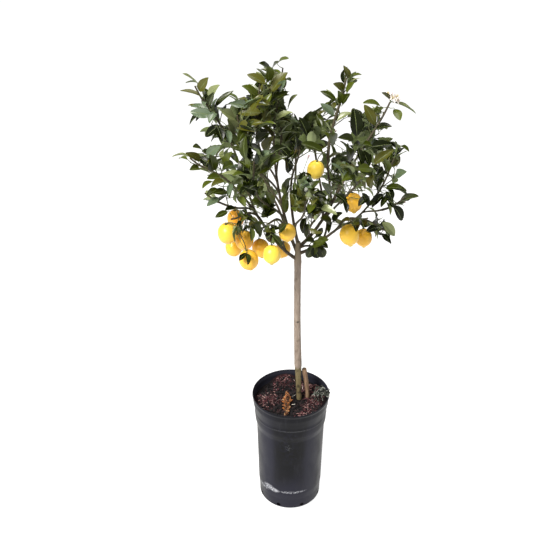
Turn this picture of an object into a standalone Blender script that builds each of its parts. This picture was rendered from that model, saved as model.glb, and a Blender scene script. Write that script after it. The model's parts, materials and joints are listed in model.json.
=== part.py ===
"""Potted four seasons lemon tree: a small standard with a round, open crown, in a tall nursery pot.

Blender 4.5, metres, +Z up. The origin is the centre of the pot's flat underside.
The tree is one trunk, tapering boughs that fork from it and from each other, and one mass of
foliage on each bough's tip. A mass is a stem, twigs that leave it by a seeded rule, and leaves
and lemons on the twigs, joined into one solid. Each mass keeps to the space nearer to its own
stem than to any other mass's stem.
"""

import math
import random

import bmesh
import bpy
from mathutils import Vector
from mathutils.bvhtree import BVHTree

UP = Vector((0.0, 0.0, 1.0))
TOUCH_GAP = 0.0003

# Pot
POT_HEIGHT = 0.352
RIM_RADIUS = 0.105
WALL = 0.0022
POT_SIDES = 30
DRAIN_HOLES = 8
DRAIN_RADIUS = 0.0060
DRAIN_HEIGHT = 0.014
POT_FLOOR = 0.0034
# Radius and height of the pot's outer side, from the foot up
POT_OUTER = (
    (0.0770, 0.0000), (0.0862, 0.0060), (0.0874, 0.0455), (0.0889, 0.0490), (0.0912, 0.1660),
    (0.0934, 0.2600), (0.0970, 0.2660), (0.0985, 0.3050), (0.1028, 0.3290), (0.1030, 0.3440),
    (0.1050, 0.3455), (RIM_RADIUS, POT_HEIGHT),
)
# Heights at which the inner side of the pot, and the soil against it, change their slope
INNER_HEIGHTS = (0.3300, 0.3030, 0.2610, 0.0075)

# Soil
SOIL_LEVEL = 0.3300
SOIL_SIDES = POT_SIDES
SOIL_INSET = 0.0002
SOIL_RINGS = (0.0960, 0.080, 0.062, 0.044, 0.024)
# Heaps and hollows of the soil: height, place, spread
SOIL_HEAPS = (
    (0.0085, -0.015, 0.080, 0.026), (0.0060, 0.078, 0.030, 0.024), (0.0040, 0.060, -0.060, 0.020),
    (-0.0130, -0.075, 0.050, 0.026), (-0.0070, -0.070, -0.045, 0.030), (-0.0120, 0.050, 0.082, 0.020),
)
# The soil is level within this distance of a stem, and rises to its full heaps over the next
LEVEL_SOIL = 0.024
LEVEL_FADE = 0.020

# Trunk: height, sideways place, radius
TRUNK_FOOT = Vector((0.0230, 0.000, SOIL_LEVEL + TOUCH_GAP))
TRUNK_TOP = Vector((0.0140, 0.000, 0.812))
TRUNK_RADIUS = 0.0084
TRUNK_FLARE = 0.0030
FLARE_HEIGHT = 0.020
GRAFT_HEIGHT = 0.428
GRAFT_SWELL = 0.0012
FORK_HEIGHT = 0.757
FORK_SWELL = 0.0014
TRUNK_TOP_RADIUS = 0.0058
TRUNK_SIDES = 12
TRUNK_BOW = 0.0035

# Stub of a second stem, cut off beside the trunk
STUB_FOOT = Vector((0.0465, 0.008, SOIL_LEVEL + TOUCH_GAP))
STUB_TOP = Vector((0.0352, 0.004, 0.427))
STUB_RADIUS = 0.0056
STUB_SIDES = 10

# Litter on the soil: a curled dry leaf, as places along it with half its width, and a tuft of moss
DRY_LEAF_LINE = (
    (0.0000, 0.0260, 0.0015), (-0.0040, 0.0140, 0.0060), (-0.0050, -0.0020, 0.0105),
    (-0.0075, -0.0200, 0.0115), (-0.0100, -0.0380, 0.0085), (-0.0130, -0.0600, 0.0070),
)
DRY_LEAF_THICKNESS = 0.0010
DRY_LEAF_CURL = 0.0075
MOSS_CENTRE = (0.0830, 0.0300)
MOSS_SIZE = (0.0105, 0.0200, 0.0080)
MOSS_CLEAR = 0.0945
MOSS_RISE = 0.0075
MOSS_SEED = 3

# Growth
GOLDEN_TURN = math.radians(137.5)
LEAF_SPACING = 0.0185
LEAF_THICKNESS = 0.0012
LEAF_WIDTH_SHARE = 0.58
LEAF_MIDDLE_SHARE = 0.45
LEAF_ARCH_SHARE = 0.09
# Corners of the leaf's faces: 0 base, 1 left, 2 right, 3 tip, 4 the keel under the middle
LEAF_FACES = ((0, 2, 1), (1, 2, 3), (0, 1, 4), (0, 4, 2), (4, 1, 3), (2, 4, 3))
TRIES = 7
STEM_RADIUS = 0.0024
STEM_TIP_RADIUS = 0.0015
TWIG_RADIUS = 0.0012
TWIG_TIP_RADIUS = 0.0010
STALK_RADIUS = 0.0012
BOUGH_SIDES = 5
# A mass's space ends this far outside its twigs' reach, and this far short of halfway to another stem
TIP_REACH = 0.030
SPACE_GAP = 0.0030
LIMB_GAP = 0.0012
CROWN_CENTRE = Vector((0.0, 0.0, 0.96))

PETAL_LENGTH = 0.012

LEMON_SIDES = 8
LEMON_SEED = 5
# Share of the length from the stalk, and share of the widest radius
LEMON_RINGS = ((0.10, 0.46), (0.34, 0.94), (0.66, 0.94), (0.90, 0.42))


class Bough:
    """One limb: it leaves its parent at a share of the parent's length and ends at the foot of its mass."""

    def __init__(self, name, parent, share, tip, crown_tip, foot_radius=0.0036, tip_radius=0.0024):
        self.name = name
        self.parent = parent
        self.share = share
        self.tip = Vector(tip)
        self.crown_tip = Vector(crown_tip)
        self.foot_radius = foot_radius
        self.tip_radius = tip_radius


# name, parent, where on the parent it starts, tip of the bough, tip of the stem of its foliage
BOUGHS = (
    Bough("left", "trunk", 0.895, (-0.149, -0.020, 0.978), (-0.234, -0.040, 1.044), 0.0046),
    Bough("left_low", "left", 0.66, (-0.139, -0.055, 0.930), (-0.201, -0.075, 0.974), 0.0030),
    Bough("left_fruit", "left", 0.42, (-0.098, -0.070, 0.922), (-0.142, -0.105, 0.923), 0.0032),
    Bough("left_top", "left", 0.60, (-0.145, 0.030, 1.054), (-0.219, 0.000, 1.197), 0.0032),
    Bough("top", "trunk", 0.925, (-0.045, 0.030, 1.037), (-0.025, 0.030, 1.229), 0.0044),
    Bough("column", "top", 0.70, (-0.079, -0.010, 1.062), (-0.075, -0.005, 1.221), 0.0030),
    Bough("upper_left", "top", 0.60, (-0.100, -0.060, 1.052), (-0.123, -0.090, 1.160), 0.0031),
    Bough("front_left", "top", 0.34, (-0.084, -0.110, 0.987), (-0.086, -0.185, 1.092), 0.0032),
    Bough("back_left", "top", 0.46, (-0.111, 0.110, 0.992), (-0.158, 0.190, 1.056), 0.0032),
    Bough("upper_back", "top", 0.78, (-0.028, 0.085, 1.042), (-0.031, 0.115, 1.111), 0.0030),
    Bough("centre", "trunk", 0.985, (-0.005, -0.005, 0.961), (0.014, -0.035, 1.062), 0.0042),
    Bough("front_centre", "centre", 0.28, (0.021, -0.085, 0.921), (0.024, -0.170, 1.006), 0.0031),
    Bough("back_mid", "centre", 0.55, (0.009, 0.120, 0.967), (0.000, 0.210, 1.020), 0.0032),
    Bough("front_fruit", "left", 0.16, (-0.030, -0.022, 0.880), (-0.086, -0.085, 0.885), 0.0028),
    Bough("right", "trunk", 0.965, (0.147, 0.000, 1.031), (0.214, 0.000, 1.161), 0.0046),
    Bough("upright", "right", 0.36, (0.056, 0.075, 1.000), (0.045, 0.100, 1.096), 0.0031),
    Bough("spire", "right", 0.50, (0.081, 0.020, 1.021), (0.117, 0.035, 1.205), 0.0033),
    Bough("front_right", "right", 0.30, (0.115, -0.070, 0.960), (0.144, -0.150, 1.046), 0.0032),
    Bough("back_right", "right", 0.50, (0.144, 0.110, 0.986), (0.192, 0.190, 1.022), 0.0032),
    Bough("right_low", "trunk", 0.930, (0.162, -0.020, 0.880), (0.227, -0.030, 0.856), 0.0042),
    Bough("right_fruit", "right_low", 0.60, (0.126, -0.050, 0.897), (0.170, -0.085, 0.916), 0.0028),
    Bough("right_mid", "right_low", 0.86, (0.192, -0.020, 0.940), (0.225, -0.045, 1.046), 0.0032),
    Bough("right_out", "right_mid", 0.42, (0.207, -0.038, 0.915), (0.254, -0.055, 0.953), 0.0027),
    Bough("low_back", "trunk", 0.945, (-0.050, 0.100, 0.889), (-0.102, 0.185, 0.919), 0.0040),
    Bough("low_back_right", "right_low", 0.42, (0.094, 0.090, 0.905), (0.136, 0.170, 0.925), 0.0030),
    Bough("inner", "right", 0.13, (0.040, -0.045, 0.874), (0.070, -0.070, 0.935), 0.0028),
    Bough("tuft", "trunk", 0.955, (0.0235, -0.006, 0.801), (0.071, -0.028, 0.815), 0.0022, 0.0022),
)


class Growth:
    """How one mass grows: seed, twigs, how far they reach, leaf length, lemons, and a flower or none."""

    def __init__(self, seed, twigs, reach, leaf, lemons=(), flower=False):
        self.seed = seed
        self.twigs = twigs
        self.reach = reach
        self.leaf = leaf
        self.lemons = lemons
        self.flower = flower


# A lemon is its centre and its widest radius
GROWTH = {
    "left": Growth(227, 5, 0.068, 0.058),
    "left_low": Growth(71, 4, 0.060, 0.056),
    "left_fruit": Growth(266, 3, 0.055, 0.050, (
        ((-0.137, 0.000, 0.873), 0.0205),
        ((-0.152, -0.075, 0.871), 0.0235),
        ((-0.143, -0.010, 0.800), 0.0205),
        ((-0.115, -0.055, 0.843), 0.0215),
        ((-0.103, -0.110, 0.820), 0.0225),
    )),
    "left_top": Growth(269, 5, 0.060, 0.058),
    "top": Growth(96, 8, 0.065, 0.058),
    "column": Growth(238, 5, 0.065, 0.060),
    "upper_left": Growth(207, 6, 0.070, 0.062),
    "front_left": Growth(375, 6, 0.070, 0.064),
    "back_left": Growth(2, 6, 0.080, 0.062),
    "upper_back": Growth(294, 5, 0.060, 0.056),
    "centre": Growth(80, 4, 0.060, 0.058),
    "front_centre": Growth(348, 5, 0.070, 0.054),
    "back_mid": Growth(67, 5, 0.080, 0.060),
    "front_fruit": Growth(178, 3, 0.050, 0.048, (
        ((-0.077, -0.030, 0.809), 0.0205),
        ((-0.050, -0.095, 0.826), 0.0205),
        ((-0.014, -0.070, 0.871), 0.0200),
        ((-0.023, 0.035, 0.771), 0.0190),
    )),
    "right": Growth(129, 5, 0.065, 0.060, flower=True),
    "upright": Growth(93, 5, 0.065, 0.056),
    "spire": Growth(195, 6, 0.050, 0.047, (
        ((0.051, -0.015, 1.005), 0.0200),
    )),
    "front_right": Growth(51, 6, 0.070, 0.058, (
        ((0.138, -0.055, 0.940), 0.0205),
    )),
    "back_right": Growth(128, 6, 0.080, 0.062),
    "right_low": Growth(46, 4, 0.055, 0.054),
    "right_fruit": Growth(248, 3, 0.050, 0.050, (
        ((0.132, -0.065, 0.862), 0.0230),
        ((0.171, -0.020, 0.832), 0.0200),
    )),
    "right_mid": Growth(173, 6, 0.062, 0.058),
    "right_out": Growth(236, 4, 0.055, 0.056),
    "low_back": Growth(145, 6, 0.080, 0.060),
    "low_back_right": Growth(247, 6, 0.080, 0.060),
    "inner": Growth(223, 4, 0.050, 0.046),
    "tuft": Growth(206, 1, 0.035, 0.044),
}


def clear_scene():
    for obj in list(bpy.data.objects):
        bpy.data.objects.remove(obj)


def material(name, colour, roughness, metallic=0.0):
    made = bpy.data.materials.new(name)
    made.use_nodes = True
    shader = made.node_tree.nodes["Principled BSDF"]
    shader.inputs["Base Color"].default_value = (*colour, 1.0)
    shader.inputs["Roughness"].default_value = roughness
    shader.inputs["Metallic"].default_value = metallic
    return made


def add_object(name, points, faces, look, smooth=True, collection=None):
    mesh = bpy.data.meshes.new(name)
    mesh.from_pydata([tuple(p) for p in points], [], faces)
    mesh.update()
    obj = bpy.data.objects.new(name, mesh)
    (collection or bpy.context.scene.collection).objects.link(obj)
    if look:
        mesh.materials.append(look)
    if smooth:
        mesh.shade_smooth()
    return obj


def apply_modifier(obj):
    """The object's evaluated mesh takes the place of its own, and the modifiers go."""
    graph = bpy.context.evaluated_depsgraph_get()
    made = bpy.data.meshes.new_from_object(obj.evaluated_get(graph))
    obj.modifiers.clear()
    obj.data = made


def cut(obj, cutters):
    """Takes the cutters out of the object, one Boolean each, and removes them."""
    for cutter in cutters:
        modifier = obj.modifiers.new("cut", "BOOLEAN")
        modifier.operation = "DIFFERENCE"
        modifier.solver = "EXACT"
        modifier.object = cutter
    apply_modifier(obj)
    for cutter in cutters:
        bpy.data.objects.remove(cutter)


# Shapes


def smooth_step(share):
    share = min(1.0, max(0.0, share))
    return share * share * (3.0 - 2.0 * share)


def across(direction):
    """Two unit vectors at right angles to a direction and to each other."""
    helper = UP if abs(direction.z) < 0.9 else Vector((1.0, 0.0, 0.0))
    first = direction.cross(helper).normalized()
    return first, direction.cross(first).normalized()


def curve_points(start, start_way, end, end_way, count):
    """Points along a smooth curve from start to end that leaves and arrives in the given ways."""
    pull = (end - start).length / 3.0
    a, b = start + start_way * pull, end - end_way * pull
    points = []
    for i in range(count):
        t = i / (count - 1)
        u = 1.0 - t
        points.append(start * u**3 + a * (3 * u * u * t) + b * (3 * u * t * t) + end * t**3)
    return points


def frames_along(points, foot_way=None):
    """At each point of a line: the way it runs, and two ways across it that don't twist."""
    frames = []
    first, _ = across((points[1] - points[0]).normalized())
    for i in range(len(points)):
        ahead = (points[min(i + 1, len(points) - 1)] - points[max(i - 1, 0)]).normalized()
        if i == 0 and foot_way:
            ahead = foot_way
        first = (first - ahead * first.dot(ahead)).normalized()
        frames.append((ahead, first, ahead.cross(first)))
    return frames


def tube(points, radii, sides, frames=None):
    """(points, faces) of a closed tube along a line, with flat ends."""
    made, faces = [], []
    for point, radius, (_, first, second) in zip(points, radii, frames or frames_along(points)):
        for k in range(sides):
            turn = 2.0 * math.pi * k / sides
            made.append(point + (first * math.cos(turn) + second * math.sin(turn)) * radius)
    for i in range(len(points) - 1):
        for k in range(sides):
            j = (k + 1) % sides
            low, high = i * sides, (i + 1) * sides
            faces.append((low + k, low + j, high + j, high + k))
    faces.append(tuple(reversed(range(sides))))
    last = (len(points) - 1) * sides
    faces.append(tuple(range(last, last + sides)))
    return made, faces


def turned(profile, sides):
    """A bmesh of a profile of (radius, height) turned round Z. It starts and ends on the axis."""
    mesh = bmesh.new()
    line = [mesh.verts.new((radius, 0.0, height)) for radius, height in profile]
    edges = [mesh.edges.new((line[i], line[i + 1])) for i in range(len(line) - 1)]
    bmesh.ops.spin(
        mesh, geom=line + edges, cent=(0.0, 0.0, 0.0), axis=(0.0, 0.0, 1.0),
        angle=2.0 * math.pi, steps=sides, use_merge=True,
    )
    bmesh.ops.remove_doubles(mesh, verts=mesh.verts, dist=1e-6)
    bmesh.ops.recalc_face_normals(mesh, faces=mesh.faces)
    return mesh


def object_from_bmesh(name, mesh, look):
    data = bpy.data.meshes.new(name)
    mesh.to_mesh(data)
    mesh.free()
    obj = bpy.data.objects.new(name, data)
    bpy.context.scene.collection.objects.link(obj)
    data.materials.append(look)
    data.shade_smooth()
    data.set_sharp_from_angle(angle=math.radians(35.0))
    return obj


# Pot and soil


def pot_radius_inside(height):
    """Radius of the pot's inner side at a height, by straight lines between the outer side's points."""
    for (r0, z0), (r1, z1) in zip(POT_OUTER, POT_OUTER[1:]):
        if z0 <= height <= z1:
            return r0 + (r1 - r0) * (height - z0) / (z1 - z0) - WALL
    return RIM_RADIUS - WALL


def build_pot(look):
    """A thin shell with a lip, a stepped collar and a foot, and drain holes through its lower edge."""
    inner = [(RIM_RADIUS - WALL, POT_HEIGHT)]
    inner += [(pot_radius_inside(z), z) for z in INNER_HEIGHTS]
    inner += [(0.0, POT_FLOOR)]
    pot = object_from_bmesh("pot", turned([(0.0, 0.0), *POT_OUTER, *inner], POT_SIDES), look)
    cutters = []
    for i in range(DRAIN_HOLES):
        turn = 2.0 * math.pi * (i + 0.5) / DRAIN_HOLES
        way = Vector((math.cos(turn), math.sin(turn), 0.0))
        middle = way * pot_radius_inside(DRAIN_HEIGHT) + UP * DRAIN_HEIGHT
        ends = [middle - way * 0.010, middle + way * 0.010]
        cutters.append(add_object("drain", *tube(ends, [DRAIN_RADIUS] * 2, 6), None))
    cut(pot, cutters)
    return pot


def mound(x, y, at_x, at_y, spread):
    return math.exp(-((x - at_x) ** 2 + (y - at_y) ** 2) / (2.0 * spread**2))


def soil_height(x, y):
    """Height of the soil: flat round the stems, heaped at the back and the right, low at the left."""
    heap = sum(height * mound(x, y, at_x, at_y, spread) for height, at_x, at_y, spread in SOIL_HEAPS)
    away = min(math.hypot(x - foot.x, y - foot.y) for foot in (TRUNK_FOOT, STUB_FOOT))
    return SOIL_LEVEL + heap * smooth_step((away - LEVEL_SOIL) / LEVEL_FADE)


def build_soil(look):
    """A plug that fills the pot, its top a net of rings that follows the soil's heaps."""
    floor = POT_FLOOR + TOUCH_GAP
    points, faces = [Vector((0.0, 0.0, floor))], []
    heights = (floor + 0.0040, *reversed(INNER_HEIGHTS[1:3]))
    for z in heights:
        radius = pot_radius_inside(z) - TOUCH_GAP - SOIL_INSET
        points += [ring_point(radius, i, z) for i in range(SOIL_SIDES)]
    for radius in SOIL_RINGS:
        for i in range(SOIL_SIDES):
            p = ring_point(radius, i, 0.0)
            p.z = soil_height(p.x, p.y)
            points.append(p)
    centre = len(points)
    points.append(Vector((0.0, 0.0, soil_height(0.0, 0.0))))
    rings = len(heights) + len(SOIL_RINGS)
    for i in range(SOIL_SIDES):
        j = (i + 1) % SOIL_SIDES
        faces.append((0, 1 + j, 1 + i))
        for k in range(rings - 1):
            low, high = 1 + k * SOIL_SIDES, 1 + (k + 1) * SOIL_SIDES
            faces += [(low + i, low + j, high + j), (low + i, high + j, high + i)]
        last = 1 + (rings - 1) * SOIL_SIDES
        faces.append((last + i, last + j, centre))
    return add_object("soil", points, faces, look)


def ring_point(radius, i, z):
    turn = 2.0 * math.pi * i / SOIL_SIDES
    return Vector((radius * math.cos(turn), radius * math.sin(turn), z))


def build_dry_leaf(look):
    """A strip that lies on the soil with both edges curled up, thin all over."""
    across_shares = (-1.0, -0.4, 0.4, 1.0)
    upper, lower = [], []
    for i, (x, y, half) in enumerate(DRY_LEAF_LINE):
        for share in across_shares:
            curl = DRY_LEAF_CURL * share**2 * half / 0.0115 + 0.0012 * (i % 2)
            below = max(soil_height(x + step * half, y) for step in (-1.0, 0.0, 1.0))
            point = Vector((x + share * half * 0.9, y, below + TOUCH_GAP + curl))
            lower.append(point)
            upper.append(point + Vector((0.0, 0.0, DRY_LEAF_THICKNESS)))
    wide, count = len(across_shares), len(lower)
    faces = []
    for i in range(len(DRY_LEAF_LINE) - 1):
        for k in range(wide - 1):
            a = i * wide + k
            faces.append((a, a + 1, a + wide + 1, a + wide))
            faces.append((count + a, count + a + wide, count + a + wide + 1, count + a + 1))
    rim = [i * wide for i in range(len(DRY_LEAF_LINE))]
    rim += [count - wide + k for k in range(1, wide)]
    rim += [i * wide + wide - 1 for i in reversed(range(len(DRY_LEAF_LINE) - 1))]
    rim += [k for k in reversed(range(1, wide - 1))]
    for a, b in zip(rim, rim[1:] + rim[:1]):
        faces.append((a, b, count + b, count + a))
    made = add_object("dry_leaf", lower + upper, faces, look, False)
    mesh = bmesh.new()
    mesh.from_mesh(made.data)
    bmesh.ops.recalc_face_normals(mesh, faces=mesh.faces)
    mesh.to_mesh(made.data)
    mesh.free()
    return made


def build_moss(look, soil):
    """A lumpy cushion on the soil against the rim."""
    chance = random.Random(MOSS_SEED)
    mesh = bmesh.new()
    bmesh.ops.create_icosphere(mesh, subdivisions=2, radius=1.0)
    x, y = MOSS_CENTRE
    for vertex in mesh.verts:
        lump = chance.uniform(0.78, 1.12)
        vertex.co = Vector([c * size * lump for c, size in zip(vertex.co, MOSS_SIZE)])
        vertex.co += Vector((x, y, 0.0))
        inward = min(1.0, MOSS_CLEAR / math.hypot(vertex.co.x, vertex.co.y))
        vertex.co.x *= inward
        vertex.co.y *= inward
        vertex.co.z += SOIL_LEVEL + MOSS_RISE
    moss = object_from_bmesh("moss", mesh, look)
    cutter = soil.copy()
    cutter.data = soil.data.copy()
    cutter.location.z = TOUCH_GAP
    bpy.context.scene.collection.objects.link(cutter)
    bpy.context.view_layer.update()
    cut(moss, [cutter])
    return moss


# Trunk and boughs


def trunk_line():
    """Points and radii of the trunk, from its flat foot to its top."""
    heights = [TRUNK_FOOT.z + h for h in (0.0, 0.008, FLARE_HEIGHT)]
    heights += [GRAFT_HEIGHT - 0.014, GRAFT_HEIGHT, GRAFT_HEIGHT + 0.014]
    heights += [0.540, 0.640, 0.730, FORK_HEIGHT, 0.780, TRUNK_TOP.z]
    points, radii = [], []
    for z in heights:
        share = (z - TRUNK_FOOT.z) / (TRUNK_TOP.z - TRUNK_FOOT.z)
        bow = TRUNK_BOW * math.sin(math.pi * share)
        points.append(TRUNK_FOOT.lerp(TRUNK_TOP, share) + Vector((-bow, bow * 0.5, 0.0)))
        radius = TRUNK_RADIUS - 0.0007 * share
        radius += TRUNK_FLARE * (1.0 - smooth_step((z - TRUNK_FOOT.z) / FLARE_HEIGHT))
        radius += GRAFT_SWELL * mound(z, 0.0, GRAFT_HEIGHT, 0.0, 0.010)
        radius += FORK_SWELL * mound(z, 0.0, FORK_HEIGHT, 0.0, 0.018)
        top = smooth_step((z - FORK_HEIGHT) / (TRUNK_TOP.z - FORK_HEIGHT))
        radii.append(radius + (TRUNK_TOP_RADIUS - radius) * top)
    return points, radii


def along_line(points, share):
    """The place at a share of a line's length, and the way the line runs there."""
    lengths = [(b - a).length for a, b in zip(points, points[1:])]
    left = share * sum(lengths)
    for (a, b), length in zip(zip(points, points[1:]), lengths):
        if left <= length or b is points[-1]:
            return a.lerp(b, min(1.0, left / length)), (b - a).normalized()
        left -= length


def radius_at(points, radii, share):
    """The radius at a share of a tapering line, counted by its points."""
    place = share * (len(points) - 1)
    i = min(int(place), len(points) - 2)
    return radii[i] + (radii[i + 1] - radii[i]) * (place - i)


def bough_lines():
    """Each bough's points and radii by name, the trunk's among them."""
    lines = {"trunk": trunk_line()}
    for bough in BOUGHS:
        parent_points, _ = lines[bough.parent]
        start, parent_way = along_line(parent_points, bough.share)
        straight = (bough.tip - start).normalized()
        leave = (straight * 1.2 + parent_way * 0.6).normalized()
        if bough.parent == "trunk":
            leave = (straight + Vector((straight.x, straight.y, 0.0)) * 0.9).normalized()
        arrive = (straight + (bough.crown_tip - bough.tip).normalized()).normalized()
        count = 4 + round((bough.tip - start).length / 0.060)
        points = curve_points(start, leave, bough.tip, arrive, count)
        foot_radius = min(bough.foot_radius, 0.82 * radius_at(*lines[bough.parent], bough.share))
        step = (bough.tip_radius - foot_radius) / (count - 1)
        lines[bough.name] = (points, [foot_radius + step * i for i in range(count)])
    return lines


def build_limbs(lines, bark, stub_bark):
    """The trunk, the stub and the boughs. Each bough is cut clear of what was built before it."""
    points, radii = lines["trunk"]
    trunk = add_object("trunk", *tube(points, radii, TRUNK_SIDES), bark)
    level_foot(trunk, TRUNK_FOOT.z, TRUNK_SIDES)
    middle = STUB_FOOT.lerp(STUB_TOP, 0.45) + Vector((0.0014, 0.0, 0.0))
    stub_line = [STUB_FOOT, middle, STUB_TOP]
    stub_radii = [STUB_RADIUS, STUB_RADIUS * 0.94, STUB_RADIUS * 0.86]
    stub = add_object("stub", *tube(stub_line, stub_radii, STUB_SIDES), stub_bark)
    level_foot(stub, STUB_FOOT.z, STUB_SIDES)
    built = ["trunk"]
    for bough in BOUGHS:
        points, radii = lines[bough.name]
        made = add_object("bough_" + bough.name, *tube(points, radii, BOUGH_SIDES), bark)
        cutters = []
        for name in built:
            other_points, other_radii = lines[name]
            if nearest(points, other_points) > 0.030:
                continue
            sides = TRUNK_SIDES if name == "trunk" else BOUGH_SIDES
            wider = [r + TOUCH_GAP for r in other_radii]
            cutters.append(add_object("cutter", *tube(other_points, wider, sides), None))
        cut(made, cutters)
        built.append(bough.name)


def level_foot(obj, height, sides):
    """Brings the lowest ring of a leaning stem to one level, so that it stands flat."""
    for vertex in list(obj.data.vertices)[:sides]:
        vertex.co.z = height


def nearest(first, second):
    """The least distance between the points of two lines, sampled along each piece."""
    best = 1e9
    for a, b in zip(first, first[1:]):
        for c, d in zip(second, second[1:]):
            for s in (0.0, 0.5, 1.0):
                for t in (0.0, 0.5, 1.0):
                    best = min(best, (a.lerp(b, s) - c.lerp(d, t)).length)
    return best


# Growth rule


class Leaf:
    """A leaf as its base, its way, its upper side and its length."""

    def __init__(self, base, way, face, length):
        self.base = base
        self.way = way
        self.face = (face - way * face.dot(way)).normalized()
        self.length = length

    def corners(self):
        """Base, left, right, tip, and the lowest point of the keel under the middle."""
        side = self.way.cross(self.face)
        lift = self.face * (LEAF_ARCH_SHARE * self.length)
        middle = self.base + self.way * (LEAF_MIDDLE_SHARE * self.length) + lift
        edge = side * (LEAF_WIDTH_SHARE * self.length / 2.0)
        tip = self.base + self.way * self.length
        return [self.base, middle - edge, middle + edge, tip, middle - self.face * LEAF_THICKNESS]

    def mesh(self):
        return self.corners(), LEAF_FACES

    def samples(self):
        """Places on the leaf that have to lie in the mass's space."""
        _, left, right, tip, keel = self.corners()
        return [left, right, tip, keel, left.lerp(tip, 0.5), right.lerp(tip, 0.5)]


class Shoot:
    """A stem or a twig: a three-sided tube along a line."""

    def __init__(self, points, foot_radius, tip_radius, foot_way=None):
        self.points = points
        count = len(points)
        self.radii = [foot_radius + (tip_radius - foot_radius) * i / (count - 1) for i in range(count)]
        self.frames = frames_along(points, foot_way)
        self.length = sum((b - a).length for a, b in zip(points, points[1:]))

    def mesh(self):
        return tube(self.points, self.radii, 3, self.frames)

    def at(self, share):
        """The place at a share of the length, and the frame there."""
        left = share * self.length
        for i, (a, b) in enumerate(zip(self.points, self.points[1:])):
            length = (b - a).length
            if left <= length or i == len(self.points) - 2:
                return a.lerp(b, min(1.0, left / length)), self.frames[i]
            left -= length


def tree_of(shape):
    points, faces = shape
    return BVHTree.FromPolygons([tuple(p) for p in points], faces)


def tree_of_all(shapes):
    points, faces = [], []
    for more_points, more_faces in shapes:
        first = len(points)
        points += [tuple(p) for p in more_points]
        faces += [tuple(first + i for i in face) for face in more_faces]
    return BVHTree.FromPolygons(points, faces)


def lemon(centre, radius, way):
    """(points, faces) of a lemon that hangs in the given way, and the place where its stalk goes in."""
    length = radius * 2.5
    start = centre - way * (length / 2.0)
    first, second = across(way)
    points, faces = [start], []
    for share, width in LEMON_RINGS:
        for k in range(LEMON_SIDES):
            turn = 2.0 * math.pi * k / LEMON_SIDES
            out = (first * math.cos(turn) + second * math.sin(turn)) * (radius * width)
            points.append(start + way * (share * length) + out)
    points.append(start + way * length)
    end = len(points) - 1
    for k in range(LEMON_SIDES):
        j = (k + 1) % LEMON_SIDES
        faces.append((0, 1 + j, 1 + k))
        for ring in range(len(LEMON_RINGS) - 1):
            low, high = 1 + ring * LEMON_SIDES, 1 + (ring + 1) * LEMON_SIDES
            faces += [(low + k, low + j, high + j), (low + k, high + j, high + k)]
        last = 1 + (len(LEMON_RINGS) - 1) * LEMON_SIDES
        faces.append((last + k, last + j, end))
    return (points, faces), start


class Mass:
    """The foliage on one bough: its space, and what grows in it."""

    def __init__(self, bough, line):
        self.name = bough.name
        self.growth = GROWTH[bough.name]
        self.random = random.Random(self.growth.seed)
        points, _ = line
        self.foot_way = (points[-1] - points[-2]).normalized()
        self.foot = points[-1] + self.foot_way * TOUCH_GAP
        self.tip = bough.crown_tip
        self.foot_radius = min(STEM_RADIUS, bough.tip_radius)
        self.shoots = []
        self.leaves = []
        self.lemons = []
        self.stalks = []
        self.flowers = []
        self.blockers = []

    def distance(self, point):
        """How far a point is from the straight line between the stem's foot and its tip."""
        line = self.tip - self.foot
        share = max(0.0, min(1.0, (point - self.foot).dot(line) / line.length_squared))
        return (point - self.foot - line * share).length

    def holds(self, point, masses):
        own = self.distance(point)
        if own > self.growth.reach + TIP_REACH:
            return False
        return all(own + SPACE_GAP < m.distance(point) for m in masses if m is not self)

    def block(self, shape):
        """Remembers a shape that no later leaf may touch."""
        points, _ = shape
        middle = sum(points, Vector()) / len(points)
        reach = max((p - middle).length for p in points)
        self.blockers.append((middle, reach, tree_of(shape)))


def around(frame, turn, spread):
    """The way that leaves a shoot at a turn round it and a spread away from it."""
    ahead, first, second = frame
    out = first * math.cos(turn) + second * math.sin(turn)
    return ahead * math.cos(spread) + out * math.sin(spread)


def grow_stem(mass):
    arrive = ((mass.tip - mass.foot).normalized() + UP * 0.35).normalized()
    points = curve_points(mass.foot, mass.foot_way, mass.tip, arrive, 6)
    mass.shoots.append(Shoot(points, mass.foot_radius, STEM_TIP_RADIUS, mass.foot_way))


def grow_lemons(mass, chance):
    """The mass's lemons hang nearly straight down."""
    for centre, radius in mass.growth.lemons:
        way = Vector((chance.uniform(-0.22, 0.22), chance.uniform(-0.22, 0.22), -1.0)).normalized()
        mass.lemons.append(lemon(Vector(centre), radius, way))


def grow_twigs(mass, masses, limbs):
    """Side twigs leave the stem by the golden turn and rise as they go."""
    chance = mass.random
    stem = mass.shoots[0]
    turn = chance.uniform(0.0, 2.0 * math.pi)
    for k in range(mass.growth.twigs):
        share = 0.06 + 0.76 * (k + chance.uniform(0.2, 0.8)) / mass.growth.twigs
        turn += GOLDEN_TURN
        spread = math.radians(chance.uniform(42.0, 66.0))
        length = mass.growth.reach * (1.05 - 0.45 * share) * chance.uniform(0.75, 1.05)
        start, frame = stem.at(share)
        for _ in range(TRIES):
            leave = (around(frame, turn, spread) + UP * 0.28).normalized()
            middle, end = start + leave * (0.5 * length), start + leave * length
            twig = Shoot([start, end], TWIG_RADIUS, TWIG_TIP_RADIUS)
            near = tube([start + leave * 0.006, end], [0.0025] * 2, 3)
            if mass.holds(middle, masses) and mass.holds(end, masses) and not touches(limbs, tree_of(near)):
                mass.shoots.append(twig)
                break
            turn += chance.uniform(0.6, 1.2)
            length *= 0.92


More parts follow.
